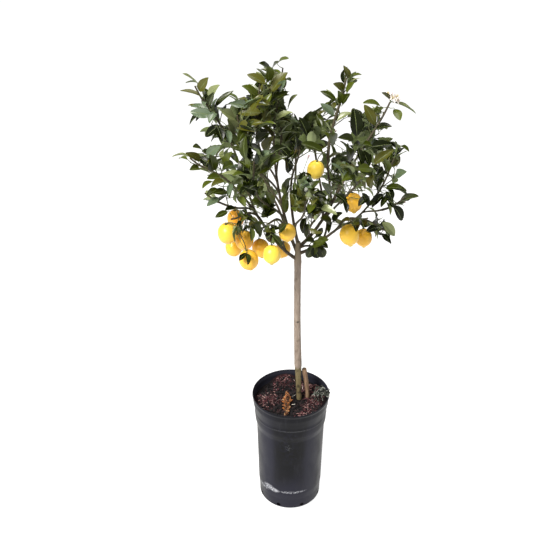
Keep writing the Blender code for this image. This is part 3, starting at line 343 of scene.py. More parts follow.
# Leaves that the photo shows by themselves, by mass: pixels of foot and tip, how far back the foot is,
# how squarely the upper side faces the camera, from 0 to 1, its green, and how broad it is where that isn't 1
Shown = namedtuple("Shown", "x y tip_x tip_y back square green broad", defaults=(1.0,))
SHOWN_LEAVES = {
    "left": (
        (190, 156, 172, 155, -0.03, 0.25, LIGHT_GREEN, 0.75), (201, 161, 187, 152, -0.03, 0.90, OLIVE_GREEN),
        (203, 151, 193, 147, -0.02, 0.35, MID), (206, 158, 219, 146, -0.04, 0.90, SHEEN_GREY),
        (213, 172, 211, 155, -0.05, 0.95, DARK_GREEN), (200, 168, 191, 169, -0.04, 0.80, MID),
        (260, 217, 276, 210, -0.03, 0.80, DARK_GREEN), (268, 218, 263, 206, -0.03, 0.70, MID),
        (222, 170, 232, 165, -0.05, 0.70, DARK_GREEN), (226, 168, 231, 153, -0.04, 0.80, MID),
        (268, 212, 262, 197, -0.03, 0.80, DARK_GREEN), (262, 214, 275, 205, -0.03, 0.70, SHADE_GREEN),
        (228, 152, 237, 163, -0.04, 0.70, DARK_GREEN), (211, 174, 200, 168, -0.05, 0.30, LIGHT_GREEN, 0.7),
        (222, 178, 207, 177, -0.05, 0.60, MID), (273, 207, 266, 192, -0.03, 0.80, MID),
        (263, 208, 252, 199, -0.03, 0.70, MID),
    ),
    "left_low": (
        (225, 180, 211, 186, -0.07, 0.80, OLIVE_GREEN), (214, 181, 202, 188, -0.06, 0.50, MID),
        (232, 183, 228, 195, -0.08, 0.95, SHEEN_GREY), (220, 197, 207, 205, -0.07, 0.90, SHEEN_GREY),
        (219, 188, 207, 196, -0.07, 0.80, DARK_GREEN), (228, 192, 214, 193, -0.07, 0.80, DARK_GREEN),
        (232, 186, 230, 198, -0.06, 0.80, DARK_GREEN), (227, 195, 217, 202, -0.05, 0.60, SHEEN_GREY, 0.8),
        (235, 196, 246, 206, -0.07, 0.70, MID),
    ),
    "left_fruit": (
        (229, 211, 215, 217, -0.08, 0.90, DARK_GREEN), (237, 209, 226, 210, -0.08, 0.60, SHADE_GREEN),
        (247, 252, 248, 265, -0.13, 0.85, DARK_GREEN), (247, 252, 239, 260, -0.12, 0.70, SHADE_GREEN),
        (250, 226, 252, 241, -0.10, 0.90, MID), (252, 222, 261, 238, -0.10, 0.85, DARK_GREEN),
    ),
    "left_top": (
        (199, 85, 183, 73, 0.00, 0.15, LIGHT_GREEN, 0.8), (198, 92, 208, 78, 0.00, 0.95, OLIVE_GREEN),
        (204, 98, 180, 90, 0.00, 0.35, OLIVE_GREEN, 0.8), (208, 98, 218, 85, -0.03, 0.85, LIGHT_GREEN, 0.8),
        (209, 105, 213, 93, -0.03, 0.90, DARK_GREEN, 0.7), (217, 126, 223, 141, 0.00, 0.95, SHADE_GREEN),
        (227, 129, 230, 143, 0.00, 0.95, SHEEN_GREY, 0.8), (213, 110, 233, 90, 0.01, 0.70, DARK_GREEN, 0.65),
        (214, 116, 190, 111, -0.01, 0.98, SHEEN_GREY), (211, 111, 191, 105, 0.00, 0.50, SHEEN_GREY),
        (215, 112, 210, 123, -0.02, 0.95, SHEEN_GREY), (221, 124, 205, 137, 0.02, 0.90, SHADE_GREEN),
        (222, 128, 232, 142, 0.02, 0.90, SHADE_GREEN),
    ),
    "top": (
        (277, 64, 287, 56, 0.03, 0.20, MID, 0.7), (272, 70, 278, 60, 0.03, 0.25, DARK_GREEN, 0.6),
        (271, 70, 260, 63, 0.03, 0.50, DARK_GREEN, 0.9), (269, 83, 267, 67, 0.01, 0.75, MID),
        (270, 94, 287, 72, 0.00, 0.70, OLIVE_GREEN, 1.1), (268, 103, 288, 92, 0.00, 0.50, DARK_GREEN),
        (288, 109, 297, 95, 0.03, 0.30, LIGHT_GREEN, 0.8), (274, 120, 292, 111, -0.02, 0.70, LIGHT_GREEN),
        (279, 92, 285, 80, 0.01, 0.75, SHEEN_GREY, 0.9),
    ),
    "column": (
        (267, 86, 248, 73, -0.01, 0.75, OLIVE_GREEN, 1.1), (259, 95, 243, 85, -0.01, 0.70, MID),
        (250, 107, 230, 102, -0.02, 0.90, SHEEN_GREY), (264, 113, 238, 113, -0.03, 0.80, OLIVE_GREEN),
        (268, 140, 257, 129, -0.03, 0.80, SHADE_GREEN),
    ),
    "upper_left": (
        (236, 119, 222, 111, -0.05, 0.80, LIGHT_GREEN), (236, 131, 229, 119, -0.07, 0.95, LIGHT_GREEN),
        (255, 143, 268, 133, -0.05, 0.85, DARK_GREEN), (263, 152, 272, 138, -0.05, 0.90, OLIVE_GREEN),
    ),
    "front_left": (
        (246, 180, 222, 173, -0.13, 0.45, LIGHT_GREEN), (252, 176, 274, 164, -0.13, 0.85, MID),
        (253, 164, 269, 150, -0.14, 0.80, SHEEN_GREY), (249, 170, 251, 152, -0.14, 0.60, MID),
    ),
    "centre": (
        (287, 196, 286, 213, -0.02, 0.90, MID), (330, 195, 322, 182, -0.02, 0.80, SHEEN_GREY),
        (289, 174, 287, 157, -0.02, 0.80, SHADE_GREEN), (285, 192, 290, 177, -0.02, 0.60, DARK_GREEN),
        (325, 153, 301, 142, -0.03, 0.70, DARK_GREEN), (308, 138, 300, 117, -0.01, 0.80, SHADE_GREEN),
        (289, 190, 284, 208, -0.02, 0.70, MID), (290, 178, 283, 195, -0.02, 0.80, MID),
    ),
    "front_fruit": (
        (271, 234, 283, 246, -0.11, 0.90, DARK_GREEN), (279, 232, 286, 223, -0.09, 0.80, DARK_GREEN),
    ),
    "right": (
        (357, 147, 362, 165, -0.02, 0.90, SHADE_GREEN), (335, 144, 331, 133, 0.00, 0.70, MID),
        (382, 107, 364, 102, 0.00, 0.40, MID), (392, 102, 417, 113, 0.00, 0.30, LIGHT_GREEN, 0.8),
        (391, 102, 384, 93, 0.00, 0.50, OLIVE_GREEN, 0.6), (371, 152, 366, 170, -0.02, 0.90, SHADE_GREEN),
        (394, 108, 401, 120, 0.00, 0.85, MID), (376, 127, 364, 105, 0.00, 0.90, OLIVE_GREEN),
        (357, 139, 354, 109, -0.01, 0.95, SHADE_GREEN), (373, 130, 392, 126, 0.00, 0.60, SHADE_GREEN),
        (368, 148, 392, 144, 0.00, 0.90, SHADE_GREEN), (355, 143, 339, 137, 0.00, 0.60, DARK_GREEN),
        (357, 160, 366, 174, -0.02, 0.80, DARK_GREEN), (351, 162, 347, 147, -0.01, 0.70, DARK_GREEN),
        (362, 149, 369, 166, -0.02, 0.85, SHADE_GREEN),
    ),
    "spire": (
        (344, 91, 334, 83, 0.03, 0.85, OLIVE_GREEN), (337, 102, 321, 90, 0.03, 0.75, DARK_GREEN),
        (335, 117, 321, 103, 0.03, 0.85, SHEEN_GREY), (335, 123, 351, 112, 0.03, 0.70, LIGHT_GREEN),
        (341, 105, 338, 91, 0.03, 0.80, MID), (348, 80, 344, 66, 0.03, 0.80, OLIVE_GREEN),
        (351, 79, 361, 73, 0.03, 0.30, MID, 0.6), (342, 106, 349, 93, 0.03, 0.60, DARK_GREEN),
        (346, 94, 354, 82, 0.03, 0.60, MID),
    ),
    "front_right": (
        (370, 196, 358, 205, -0.085, 0.80, SHADE_GREEN), (341, 198, 347, 213, -0.06, 0.70, SHADE_GREEN),
        (361, 191, 369, 208, -0.10, 0.85, SHADE_GREEN), (334, 193, 347, 203, -0.10, 0.80, SHADE_GREEN),
    ),
    "right_low": (
        (331, 219, 346, 227, -0.02, 0.60, LIGHT_GREEN), (332, 222, 342, 212, -0.02, 0.80, DARK_GREEN),
        (332, 224, 322, 217, -0.02, 0.70, MID), (333, 221, 328, 233, -0.02, 0.70, DARK_GREEN),
        (380, 221, 395, 236, -0.03, 0.90, LIGHT_GREEN), (381, 233, 391, 244, -0.03, 0.85, SHADE_GREEN),
        (380, 227, 366, 231, -0.08, 0.60, SHADE_GREEN),
    ),
    "right_mid": (
        (386, 173, 385, 158, -0.04, 0.80, MID), (388, 188, 393, 200, -0.05, 0.80, SHADE_GREEN),
        (374, 177, 361, 171, -0.03, 0.70, MID), (369, 189, 374, 175, -0.03, 0.80, OLIVE_GREEN),
        (385, 190, 392, 204, -0.03, 0.70, DARK_GREEN), (381, 199, 371, 206, -0.03, 0.60, DARK_GREEN),
        (372, 166, 393, 149, -0.04, 0.95, OLIVE_GREEN), (398, 146, 410, 151, -0.04, 0.40, DARK_GREEN, 0.7),
        (395, 176, 406, 171, -0.05, 0.90, SHEEN_GREY), (385, 177, 378, 192, -0.04, 0.80, SHADE_GREEN),
        (390, 194, 381, 207, -0.04, 0.85, DARK_GREEN), (373, 170, 358, 167, -0.04, 0.70, MID),
        (386, 193, 371, 207, -0.05, 0.85, SHADE_GREEN), (384, 188, 402, 187, -0.05, 0.70, DARK_GREEN),
    ),
    "right_out": (
        (386, 201, 391, 215, -0.04, 0.60, LIGHT_GREEN, 0.8), (398, 202, 419, 196, -0.05, 0.65, DARK_GREEN),
        (387, 187, 407, 190, -0.05, 0.70, DARK_GREEN), (392, 204, 403, 221, -0.05, 0.85, SHADE_GREEN),
        (384, 194, 394, 208, -0.05, 0.85, SHADE_GREEN),
    ),
    "inner": (
        (307, 216, 302, 234, -0.02, 0.70, SHADE_GREEN), (309, 222, 305, 238, -0.01, 0.80, DARK_GREEN),
    ),
    "tuft": (
        (315, 243, 307, 258, -0.02, 1.00, DARK_GREEN, 1.45),
        (317, 245, 325, 257, -0.02, 1.00, DARK_GREEN, 1.45), (316, 243, 328, 239, -0.02, 0.80, MID, 1.45),
        (315, 243, 306, 241, -0.02, 0.70, DARK_GREEN, 1.45),
        (318, 243, 311, 255, -0.03, 0.95, DARK_GREEN, 1.45), (313, 245, 319, 258, -0.03, 1.00, SHADE_GREEN, 1.45),
        (317, 242, 328, 248, -0.02, 0.90, DARK_GREEN, 1.45), (311, 246, 324, 243, -0.03, 0.80, MID, 1.45),
    ),
}

# Seeds of what the scene adds
FINE_SEED = 900
LEAF_SEED = 41
BLOSSOM_SEED = 12
LITTER_SEED = 8
DRY_SEED = 6

# How far beyond the solids' box a finer leaf may reach
BOX_SLACK = 0.004

FLOWERS_MORE = 9
# A bud on a thin stalk of its own: mass, pixels of the stalk's foot and of the bud, how far back
LONE_BUD = ("centre", (303, 172), (308, 158), -0.03)
# The masses' stems are thicker than the three-sided ones of the solids, most of all the spire's
STEM_SWELL, COMMON_SWELL = {"spire": 1.75, "right": 1.4}, 1.25
# Height, and share of the solid trunk's radius: slim in the soil, fullest over the graft
TRUNK_WIDTHS = (
    (0.330, 0.64), (0.346, 0.82), (0.375, 0.90), (0.428, 0.93), (0.444, 1.16), (0.600, 1.09), (0.757, 1.04),
)
# Masses with two small buds at the tip of a finer twig
BUDDED = ("centre", "upright", "right_out", "spire")

# Colours. The leaves' upper sides from deep to young green, each with its roughness and specular. The first,
# near black, is painted shade; the fifth, blue-grey and glossy, is a painted sheen; the sixth, light green,
# is partly a painted highlight
LEAF_TOPS = (
    ((0.0055, 0.0085, 0.0005), 0.27, 0.16),
    ((0.0210, 0.0290, 0.0016), 0.28, 0.26),
    ((0.0620, 0.0800, 0.0068), 0.30, 0.38),
    ((0.0640, 0.0650, 0.0066), 0.36, 0.30),
    ((0.0850, 0.1200, 0.0660), 0.26, 0.85),
    ((0.1700, 0.1950, 0.0760), 0.33, 0.50),
    ((0.2300, 0.2550, 0.0800), 0.40, 0.40),
)
LEAF_UNDERS = ((0.100, 0.130, 0.042), (0.140, 0.175, 0.070), (0.200, 0.235, 0.115))
LEAF_RIB = (0.095, 0.120, 0.035)
PETIOLE_GREEN = (0.085, 0.105, 0.035)
TWIG_COLORS = ((0.052, 0.042, 0.022), (0.060, 0.066, 0.024), (0.095, 0.118, 0.040))
PEEL_COLORS = (
    (0.82, 0.50, 0.045), (0.82, 0.45, 0.034), (0.81, 0.36, 0.022), (0.82, 0.58, 0.062), (0.68, 0.52, 0.070),
)
# The peel of each lemon, in the order in which they grow. The spire's lemon takes the paler fourth yellow,
# painted light where it hangs in the crown's shade
PEEL_DEALT = (2, 0, 1, 1, 1, 1, 3, 0, 1, 3, 1, 0, 1)
BLOSSOM_COLORS = ((0.74, 0.67, 0.62), (0.46, 0.32, 0.33), (0.60, 0.52, 0.30), (0.13, 0.17, 0.06))
BARK_GREY = (0.2330, 0.1830, 0.1460)
BARK_PALE = (0.3050, 0.2480, 0.2030)
BARK_BROWN = (0.1520, 0.1130, 0.0840)
BARK_OLIVE = (0.165, 0.131, 0.064)
BARK_OLIVE_DARK = (0.050, 0.040, 0.022)
BARK_FORK = (0.190, 0.150, 0.095)
BARK_SCAR = (0.050, 0.040, 0.030)
SCAR = (0.016, -0.008, 0.583)
BOUGH_COLORS = (
    ((0.048, 0.036, 0.022), (0.120, 0.096, 0.062)), ((0.046, 0.040, 0.020), (0.095, 0.086, 0.044)),
)
# Boughs with older bark, besides those that leave the trunk
OLD_BOUGHS = ("column", "upright", "spire")
STUB_BROWN = (0.210, 0.130, 0.080)
STUB_ORANGE = (0.380, 0.250, 0.155)
STUB_DARK = (0.070, 0.042, 0.024)
CUT_BROWN = (0.150, 0.100, 0.060)
POT_BLACK = (0.0028, 0.0029, 0.0050)
POT_DUST = (0.0068, 0.0069, 0.0125)
POT_SMEAR = (0.0210, 0.0210, 0.0280)
POT_DEEP = (0.0018, 0.0019, 0.0019)
POT_SHEEN_BAND = (0.0150, 0.0150, 0.0260)
# A lighter copy of the pot's black plastic for its inner side: painted light where the inside lies in shade
POT_INNER_PAINTED_LIGHT = (0.0200, 0.0205, 0.0310)
POT_SCUFF_AND_HIGHLIGHT = (0.480, 0.490, 0.530)
# Where the pot's side has lighter bluish bands, painted sheen at its left and right sides and a lighter band
# low on its front, and where it is mottled: centre, half sizes
SHEEN_BANDS = (
    ((-0.064, -0.062, 0.170), (0.030, 0.050, 0.260)), ((0.056, -0.072, 0.150), (0.030, 0.050, 0.260)),
    ((0.006, -0.080, 0.035), (0.110, 0.060, 0.105)),
)
MOTTLED = ((-0.004, -0.094, 0.235), (0.052, 0.040, 0.110))
# Where it is scuffed, and in the last row a thin painted highlight along the collar's ring: centre, half
# sizes, share of it that is torn, how white
SCUFFS_AND_RING_HIGHLIGHT = (
    ((-0.074, -0.047, 0.058), (0.022, 0.034, 0.008), (0.47, 0.54), 0.70),
    ((-0.059, -0.064, 0.070), (0.022, 0.026, 0.012), (0.44, 0.52), 0.85),
    ((-0.045, -0.076, 0.066), (0.018, 0.022, 0.009), (0.42, 0.50), 0.85),
    ((0.006, -0.087, 0.067), (0.050, 0.030, 0.0050), (0.47, 0.53), 0.85),
    ((-0.006, -0.093, 0.232), (0.014, 0.020, 0.014), (0.58, 0.64), 0.40),
    # A thin painted highlight along the collar's ring, not a scuff
    ((0.000, -0.097, 0.2950), (0.075, 0.050, 0.0016), (0.30, 0.62), 0.12),
)
SOIL_BLACK = (0.0046, 0.0038, 0.0046)
SOIL_BROWN = (0.0120, 0.0085, 0.0090)
SOIL_RED = (0.0520, 0.0175, 0.0200)
LITTER_COLORS = (
    (0.0085, 0.0068, 0.0080), (0.042, 0.020, 0.021), (0.098, 0.030, 0.036), (0.300, 0.165, 0.155),
    (0.640, 0.500, 0.480),
)
SLIVER_WOOD = (0.75, 0.70, 0.62)
# Slivers of wood on the soil: foot, way to the tip, radius
SLIVERS = (
    ((0.002, -0.0265), (0.0100, -0.0010, 0.0020), 0.0008),
    ((0.002, 0.0060), (0.0105, 0.0040, 0.0045), 0.0004),
    ((0.033, 0.0400), (0.0010, 0.0000, 0.0100), 0.0009),
)
# The dead leaf's twist: place and half width, from its stalk on
DRY_TWIST = (
    (-0.0127, 0.0310, 0.0012), (-0.0110, 0.0200, 0.0045), (-0.0085, 0.0080, 0.0085),
    (-0.0088, -0.0050, 0.0130), (-0.0104, -0.0190, 0.0165), (-0.0112, -0.0340, 0.0158),
    (-0.0125, -0.0480, 0.0118), (-0.0128, -0.0620, 0.0095), (-0.0135, -0.0730, 0.0072),
)
DRY_COLORS = ((0.570, 0.205, 0.058), (0.520, 0.320, 0.175), (0.230, 0.095, 0.042), (0.045, 0.022, 0.014))
# Tangles of strands in the pot and over its rim: strands, centre, half sizes, the least height
MOSS_TANGLES = (
    (84, (0.0790, 0.0090, 0.3380), (0.0190, 0.0360, 0.0110), 0.3330),
    (20, (0.0990, -0.0080, 0.3550), (0.0090, 0.0180, 0.0020), 0.3535),
)
MOSS_COLORS = ((0.010, 0.011, 0.010), (0.080, 0.090, 0.072), (0.280, 0.290, 0.260))
# Heaps of the litter on the soil, over the soil's own: height, place, spread
LITTER_HEAPS = ((0.0060, -0.012, 0.094, 0.022), (0.0030, 0.062, 0.040, 0.018))

# Studio
FLOOR_RADIUS = 30.0
FLOOR_GLOW = 0.93
HORIZON_STRENGTH, ZENITH_STRENGTH = 0.65, 0.20
LIGHTS = (
    ("key", (-1.4, -1.8, 2.9), (0.0, 0.0, 0.8), 1.1, 165.0, (1.0, 0.975, 0.93)),
    ("top", (0.5, 0.6, 3.4), (0.0, 0.0, 0.6), 2.0, 50.0, (1.0, 0.975, 0.93)),
)


def smooth_step(share):
    share = min(1.0, max(0.0, share))
    return share * share * (3.0 - 2.0 * share)


def mound(x, y, at_x, at_y, spread):
    """How high a round heap stands at a place, as a share of its top."""
    return math.exp(-((x - at_x) ** 2 + (y - at_y) ** 2) / (2.0 * spread**2))


def across(direction):
    """Two unit vectors at right angles to a direction and to each other."""
    helper = UP if abs(direction.z) < 0.9 else Vector((1.0, 0.0, 0.0))
    first = direction.cross(helper).normalized()
    return first, direction.cross(first).normalized()


def spoke(first, second, turn):
    """The way out at a turn, between two ways at right angles."""
    return first * math.cos(turn) + second * math.sin(turn)


def spokes(first, second, sides):
    return [spoke(first, second, FULL_TURN * k / sides) for k in range(sides)]


def curve_points(start, start_way, end, end_way, count):
    """Points along a smooth curve from start to end that leaves and arrives in the given ways."""
    pull = (end - start).length / 3.0
    a, b = start + start_way * pull, end - end_way * pull
    points = []
    for i in range(count):
        t = i / (count - 1)
        u = 1.0 - t
        points.append(start * u**3 + a * (3 * u * u * t) + b * (3 * u * t * t) + end * t**3)
    return points


def frames_along(points, foot_way=None):
    """At each point of a line: the way it runs, and two ways across it that don't twist."""
    frames = []
    first, _ = across((points[1] - points[0]).normalized())
    for i in range(len(points)):
        ahead = (points[min(i + 1, len(points) - 1)] - points[max(i - 1, 0)]).normalized()
        if i == 0 and foot_way:
            ahead = foot_way
        first = (first - ahead * first.dot(ahead)).normalized()
        frames.append((ahead, first, ahead.cross(first)))
    return frames


def walk(points, share):
    """The place at a share of a line's length, and which stretch of the line it is on."""
    lengths = [(b - a).length for a, b in zip(points, points[1:])]
    left = share * sum(lengths)
    for i, length in enumerate(lengths):
        if left <= length or i == len(lengths) - 1:
            return points[i].lerp(points[i + 1], min(1.0, left / length)), i
        left -= length


def tube(points, radii, sides, frames=None):
    """(points, faces) of a closed tube along a line, with flat ends."""
    made, faces = [], []
    for point, radius, (_, first, second) in zip(points, radii, frames or frames_along(points)):
        made += [point + out * radius for out in spokes(first, second, sides)]
    last = (len(points) - 1) * sides
    for low in range(0, last, sides):
        for k in range(sides):
            j = (k + 1) % sides
            faces.append((low + k, low + j, low + sides + j, low + sides + k))
    return made, [*faces, tuple(reversed(range(sides))), tuple(range(last, last + sides))]


def grid_faces(rows, columns, wrap=False):
    """Triangles of a net of rows by columns of points, closed round its columns if it wraps."""
    faces = []
    for i in range(rows - 1):
        for k in range(columns if wrap else columns - 1):
            j = (k + 1) % columns
            low, high = i * columns, (i + 1) * columns
            faces += [(low + k, low + j, high + j), (low + k, high + j, high + k)]
    return faces


def capped_faces(rings, sides):
    """Triangles of rings of points, closed by one point at each end. These two come after the rings."""
    count = rings * sides
    faces = grid_faces(rings, sides, True)
    for k in range(sides):
        j = (k + 1) % sides
        faces += [(count, j, k), (count + 1, count - sides + k, count - sides + j)]
    return faces


def turned(profile, sides):
    """A bmesh of a profile of (radius, height) turned round Z. It starts and ends on the axis."""
    mesh = bmesh.new()
    line = [mesh.verts.new((radius, 0.0, height)) for radius, height in profile]
    edges = [mesh.edges.new((line[i], line[i + 1])) for i in range(len(line) - 1)]
    bmesh.ops.spin(
        mesh, geom=line + edges, cent=(0.0, 0.0, 0.0), axis=(0.0, 0.0, 1.0),
        angle=FULL_TURN, steps=sides, use_merge=True,
    )
    bmesh.ops.remove_doubles(mesh, verts=mesh.verts, dist=1e-6)
    bmesh.ops.recalc_face_normals(mesh, faces=mesh.faces)
    return mesh


def link(name, data):
    """A new object in the scene."""
    obj = bpy.data.objects.new(name, data)
    bpy.context.scene.collection.objects.link(obj)
    return obj


def object_of(name, mesh, looks):
    """An object of a bmesh, which is freed."""
    data = bpy.data.meshes.new(name)
    mesh.to_mesh(data)
    mesh.free()
    for look in looks:
        data.materials.append(look)
    return link(name, data)


def pot_radius_inside(height):
    """Radius of the pot's inner side at a height, by straight lines between the outer side's points."""
    for (r0, z0), (r1, z1) in zip(POT_OUTER, POT_OUTER[1:]):
        if z0 <= height <= z1:
            return r0 + (r1 - r0) * (height - z0) / (z1 - z0) - WALL
    return RIM_RADIUS - WALL


def soil_height(x, y):
    """Height of the soil: flat round the stems, heaped at the back and the right, low at the left."""
    heap = sum(height * mound(x, y, *place) for height, *place in SOIL_HEAPS)
    away = min(math.hypot(x - foot.x, y - foot.y) for foot in (TRUNK_FOOT, STUB_FOOT))
    return SOIL_LEVEL + heap * smooth_step((away - LEVEL_SOIL) / LEVEL_FADE)


def trunk_line():
    """Points and radii of the trunk, from its flat foot to its top."""
    heights = [TRUNK_FOOT.z + h for h in (0.0, 0.008, FLARE_HEIGHT)]
    heights += [GRAFT_HEIGHT - 0.014, GRAFT_HEIGHT, GRAFT_HEIGHT + 0.014]
    heights += [0.540, 0.640, 0.730, FORK_HEIGHT, 0.780, TRUNK_TOP.z]
    points, radii = [], []
    for z in heights:
        share = (z - TRUNK_FOOT.z) / (TRUNK_TOP.z - TRUNK_FOOT.z)
        bow = TRUNK_BOW * math.sin(math.pi * share)
        points.append(TRUNK_FOOT.lerp(TRUNK_TOP, share) + Vector((-bow, bow * 0.5, 0.0)))
        radius = TRUNK_RADIUS - 0.0007 * share
        radius += TRUNK_FLARE * (1.0 - smooth_step((z - TRUNK_FOOT.z) / FLARE_HEIGHT))
        radius += GRAFT_SWELL * mound(z, 0.0, GRAFT_HEIGHT, 0.0, 0.010)
        radius += FORK_SWELL * mound(z, 0.0, FORK_HEIGHT, 0.0, 0.018)
        top = smooth_step((z - FORK_HEIGHT) / (TRUNK_TOP.z - FORK_HEIGHT))
        radii.append(radius + (TRUNK_TOP_RADIUS - radius) * top)
    return points, radii


def radius_at(points, radii, share):
    """The radius at a share of a tapering line, counted by its points."""
    place = share * (len(points) - 1)
    i = min(int(place), len(points) - 2)
    return radii[i] + (radii[i + 1] - radii[i]) * (place - i)


def bough_lines():
    """Each bough's points and radii by name, the trunk's among them."""
    lines = {"trunk": trunk_line()}
    for bough in BOUGHS:
        parent_points, _ = lines[bough.parent]
        start, i = walk(parent_points, bough.share)
        parent_way = (parent_points[i + 1] - parent_points[i]).normalized()
        straight = (bough.tip - start).normalized()
        leave = (straight * 1.2 + parent_way * 0.6).normalized()
        if bough.parent == "trunk":
            leave = (straight + Vector((straight.x, straight.y, 0.0)) * 0.9).normalized()
        arrive = (straight + (bough.crown_tip - bough.tip).normalized()).normalized()
        count = 4 + round((bough.tip - start).length / 0.060)
        points = curve_points(start, leave, bough.tip, arrive, count)
        foot_radius = min(bough.foot_radius, 0.82 * radius_at(*lines[bough.parent], bough.share))
        step = (bough.tip_radius - foot_radius) / (count - 1)
        lines[bough.name] = (points, [foot_radius + step * i for i in range(count)])
    return lines


class Leaf:
    """A leaf as its base, its way, its upper side and its length. A shown one has its green and breadth."""

    def __init__(self, base, way, face, length, green=None, broad=1.0):
        self.base = base
        self.way = way
        self.face = (face - way * face.dot(way)).normalized()
        self.length = length
        self.green = green
        self.broad = broad

    def along(self, share):
        return self.base + self.way * (share * self.length)

    def corners(self):
        """Base, left, right, tip, and the lowest point of the keel under the middle."""
        middle = self.along(LEAF_MIDDLE_SHARE) + self.face * (LEAF_ARCH_SHARE * self.length)
        edge = self.way.cross(self.face) * (LEAF_WIDTH_SHARE * self.length / 2.0)
        return [self.base, middle - edge, middle + edge, self.along(1.0), middle - self.face * LEAF_THICKNESS]

    def mesh(self):
        return self.corners(), LEAF_FACES

    def samples(self):
        """Places on the leaf that have to lie in the mass's space."""
        _, left, right, tip, keel = self.corners()
        return [left, right, tip, keel, left.lerp(tip, 0.5), right.lerp(tip, 0.5)]


class Shoot:
    """A stem or a twig along a line."""

    def __init__(self, points, foot_radius, tip_radius, foot_way=None):
        self.points = points
        count = len(points)
        self.radii = [foot_radius + (tip_radius - foot_radius) * i / (count - 1) for i in range(count)]
        self.frames = frames_along(points, foot_way)
        self.length = sum((b - a).length for a, b in zip(points, points[1:]))

    def mesh(self):
        """The three-sided tube of the solids."""
        return tube(self.points, self.radii, 3, self.frames)

    def at(self, share):
        """The place at a share of the length, and the frame there."""
        place, i = walk(self.points, share)
        return place, self.frames[i]


def tree_of(shape):
    points, faces = shape
    return BVHTree.FromPolygons([tuple(p) for p in points], faces)


def lemon(centre, radius, way):
    """(points, faces) of a lemon that hangs in the given way, and the place where its stalk goes in."""
    length = LEMON_STRETCH * radius
    start = centre - way * (length / 2.0)
    points = []
    for share, width in LEMON_RINGS:
        outs = spokes(*across(way), LEMON_SIDES)
        points += [start + way * (share * length) + out * (radius * width) for out in outs]
    return ([*points, start, start + way * length], capped_faces(len(LEMON_RINGS), LEMON_SIDES)), start


class Mass:
    """The foliage on one bough: its space, and what grows in it."""

    def __init__(self, bough, line, crown):
        self.name = bough.name
        self.crown = crown
        self.growth = GROWTH[bough.name]
        self.random = random.Random(self.growth.seed)
        points, _ = line
        self.foot_way = (points[-1] - points[-2]).normalized()
        self.foot = points[-1] + self.foot_way * TOUCH_GAP
        self.tip = bough.crown_tip
        self.foot_radius = min(STEM_RADIUS, bough.tip_radius)
        self.shoots, self.stalks, self.fine_shoots, self.shown_twigs = [], [], [], []
        self.leaves, self.lemons, self.blockers = [], [], []

    def distance(self, point):
        """How far a point is from the straight line between the stem's foot and its tip."""
        line = self.tip - self.foot
        share = max(0.0, min(1.0, (point - self.foot).dot(line) / line.length_squared))
        return (point - self.foot - line * share).length

    def holds(self, point):
        """Whether a point is in the mass's own space."""
        own = self.distance(point)
        if own > self.growth.reach + TIP_REACH:
            return False
        return all(own + SPACE_GAP < m.distance(point) for m in self.crown.masses if m is not self)

    def block(self, shape):
        """Remembers a shape that no later leaf may touch."""
        points, _ = shape
        middle = sum(points, Vector()) / len(points)
        reach = max((p - middle).length for p in points)
        self.blockers.append((middle, reach, tree_of(shape)))


class Crown:
    """Every mass, the boughs and lemons that nothing may touch, and the leaves that the photo shows."""

    def __init__(self, lines):
        self.masses = [Mass(bough, lines[bough.name], self) for bough in BOUGHS]
        self.by_name = {mass.name: mass for mass in self.masses}
        self.shown = []
        points, faces = [], []
        for line, radii in lines.values():
            more_points, more_faces = tube(line, [r + LIMB_GAP for r in radii], TRUNK_SIDES)
            faces += [tuple(len(points) + i for i in face) for face in more_faces]
            points += more_points
        self.limbs = [("boughs", tree_of((points, faces)))]

    def grow(self):
        """Grows every mass by the rule of the solids, in the order of the boughs."""
        chance = random.Random(LEMON_SEED)
        for mass in self.masses:
            grow_lemons(mass, chance)
            self.limbs += [(shape, tree_of(shape)) for shape, _ in mass.lemons]
        for mass in self.masses:
            grow_stem(mass)
            grow_twigs(mass)
            grow_stalks(mass)
            grow_leaves(mass)

    def touches(self, tree, but=None):
        """Whether a shape meets a bough or a lemon, other than the one it belongs to."""
        return any(limb.overlap(tree) for shape, limb in self.limbs if shape is not but)


def around(frame, turn, spread):
    """The way that leaves a shoot at a turn round it and a spread away from it."""
    ahead, first, second = frame
    return ahead * math.cos(spread) + spoke(first, second, turn) * math.sin(spread)


def grow_stem(mass):
    arrive = ((mass.tip - mass.foot).normalized() + UP * 0.35).normalized()
    points = curve_points(mass.foot, mass.foot_way, mass.tip, arrive, 6)
    mass.shoots.append(Shoot(points, mass.foot_radius, STEM_TIP_RADIUS, mass.foot_way))


def grow_lemons(mass, chance):
    """The mass's lemons hang nearly straight down."""
    for centre, radius in mass.growth.lemons:
        way = Vector((chance.uniform(-0.22, 0.22), chance.uniform(-0.22, 0.22), -1.0)).normalized()
        mass.lemons.append(lemon(Vector(centre), radius, way))


def grow_twigs(mass):
    """Side twigs leave the stem by the golden turn and rise as they go."""
    chance = mass.random
    turn = chance.uniform(0.0, FULL_TURN)
    for k in range(mass.growth.twigs):
        share = 0.06 + 0.76 * (k + chance.uniform(0.2, 0.8)) / mass.growth.twigs
        turn += GOLDEN_TURN
        spread = math.radians(chance.uniform(*TWIG_SPREAD))
        length = mass.growth.reach * (1.05 - 0.45 * share) * chance.uniform(0.75, 1.05)
        start, frame = mass.shoots[0].at(share)
        for _ in range(TRIES):
            leave = (around(frame, turn, spread) + UP * 0.28).normalized()
            middle, end = start + leave * (0.5 * length), start + leave * length
            near = tree_of(tube([start + leave * TWIG_CLEAR, end], [0.0025] * 2, 3))
            if mass.holds(middle) and mass.holds(end) and not mass.crown.touches(near):
                mass.shoots.append(Shoot([start, end], TWIG_RADIUS, TWIG_TIP_RADIUS))
                break
            turn += chance.uniform(*NEXT_TRY)
            length *= TWIG_SHRINK


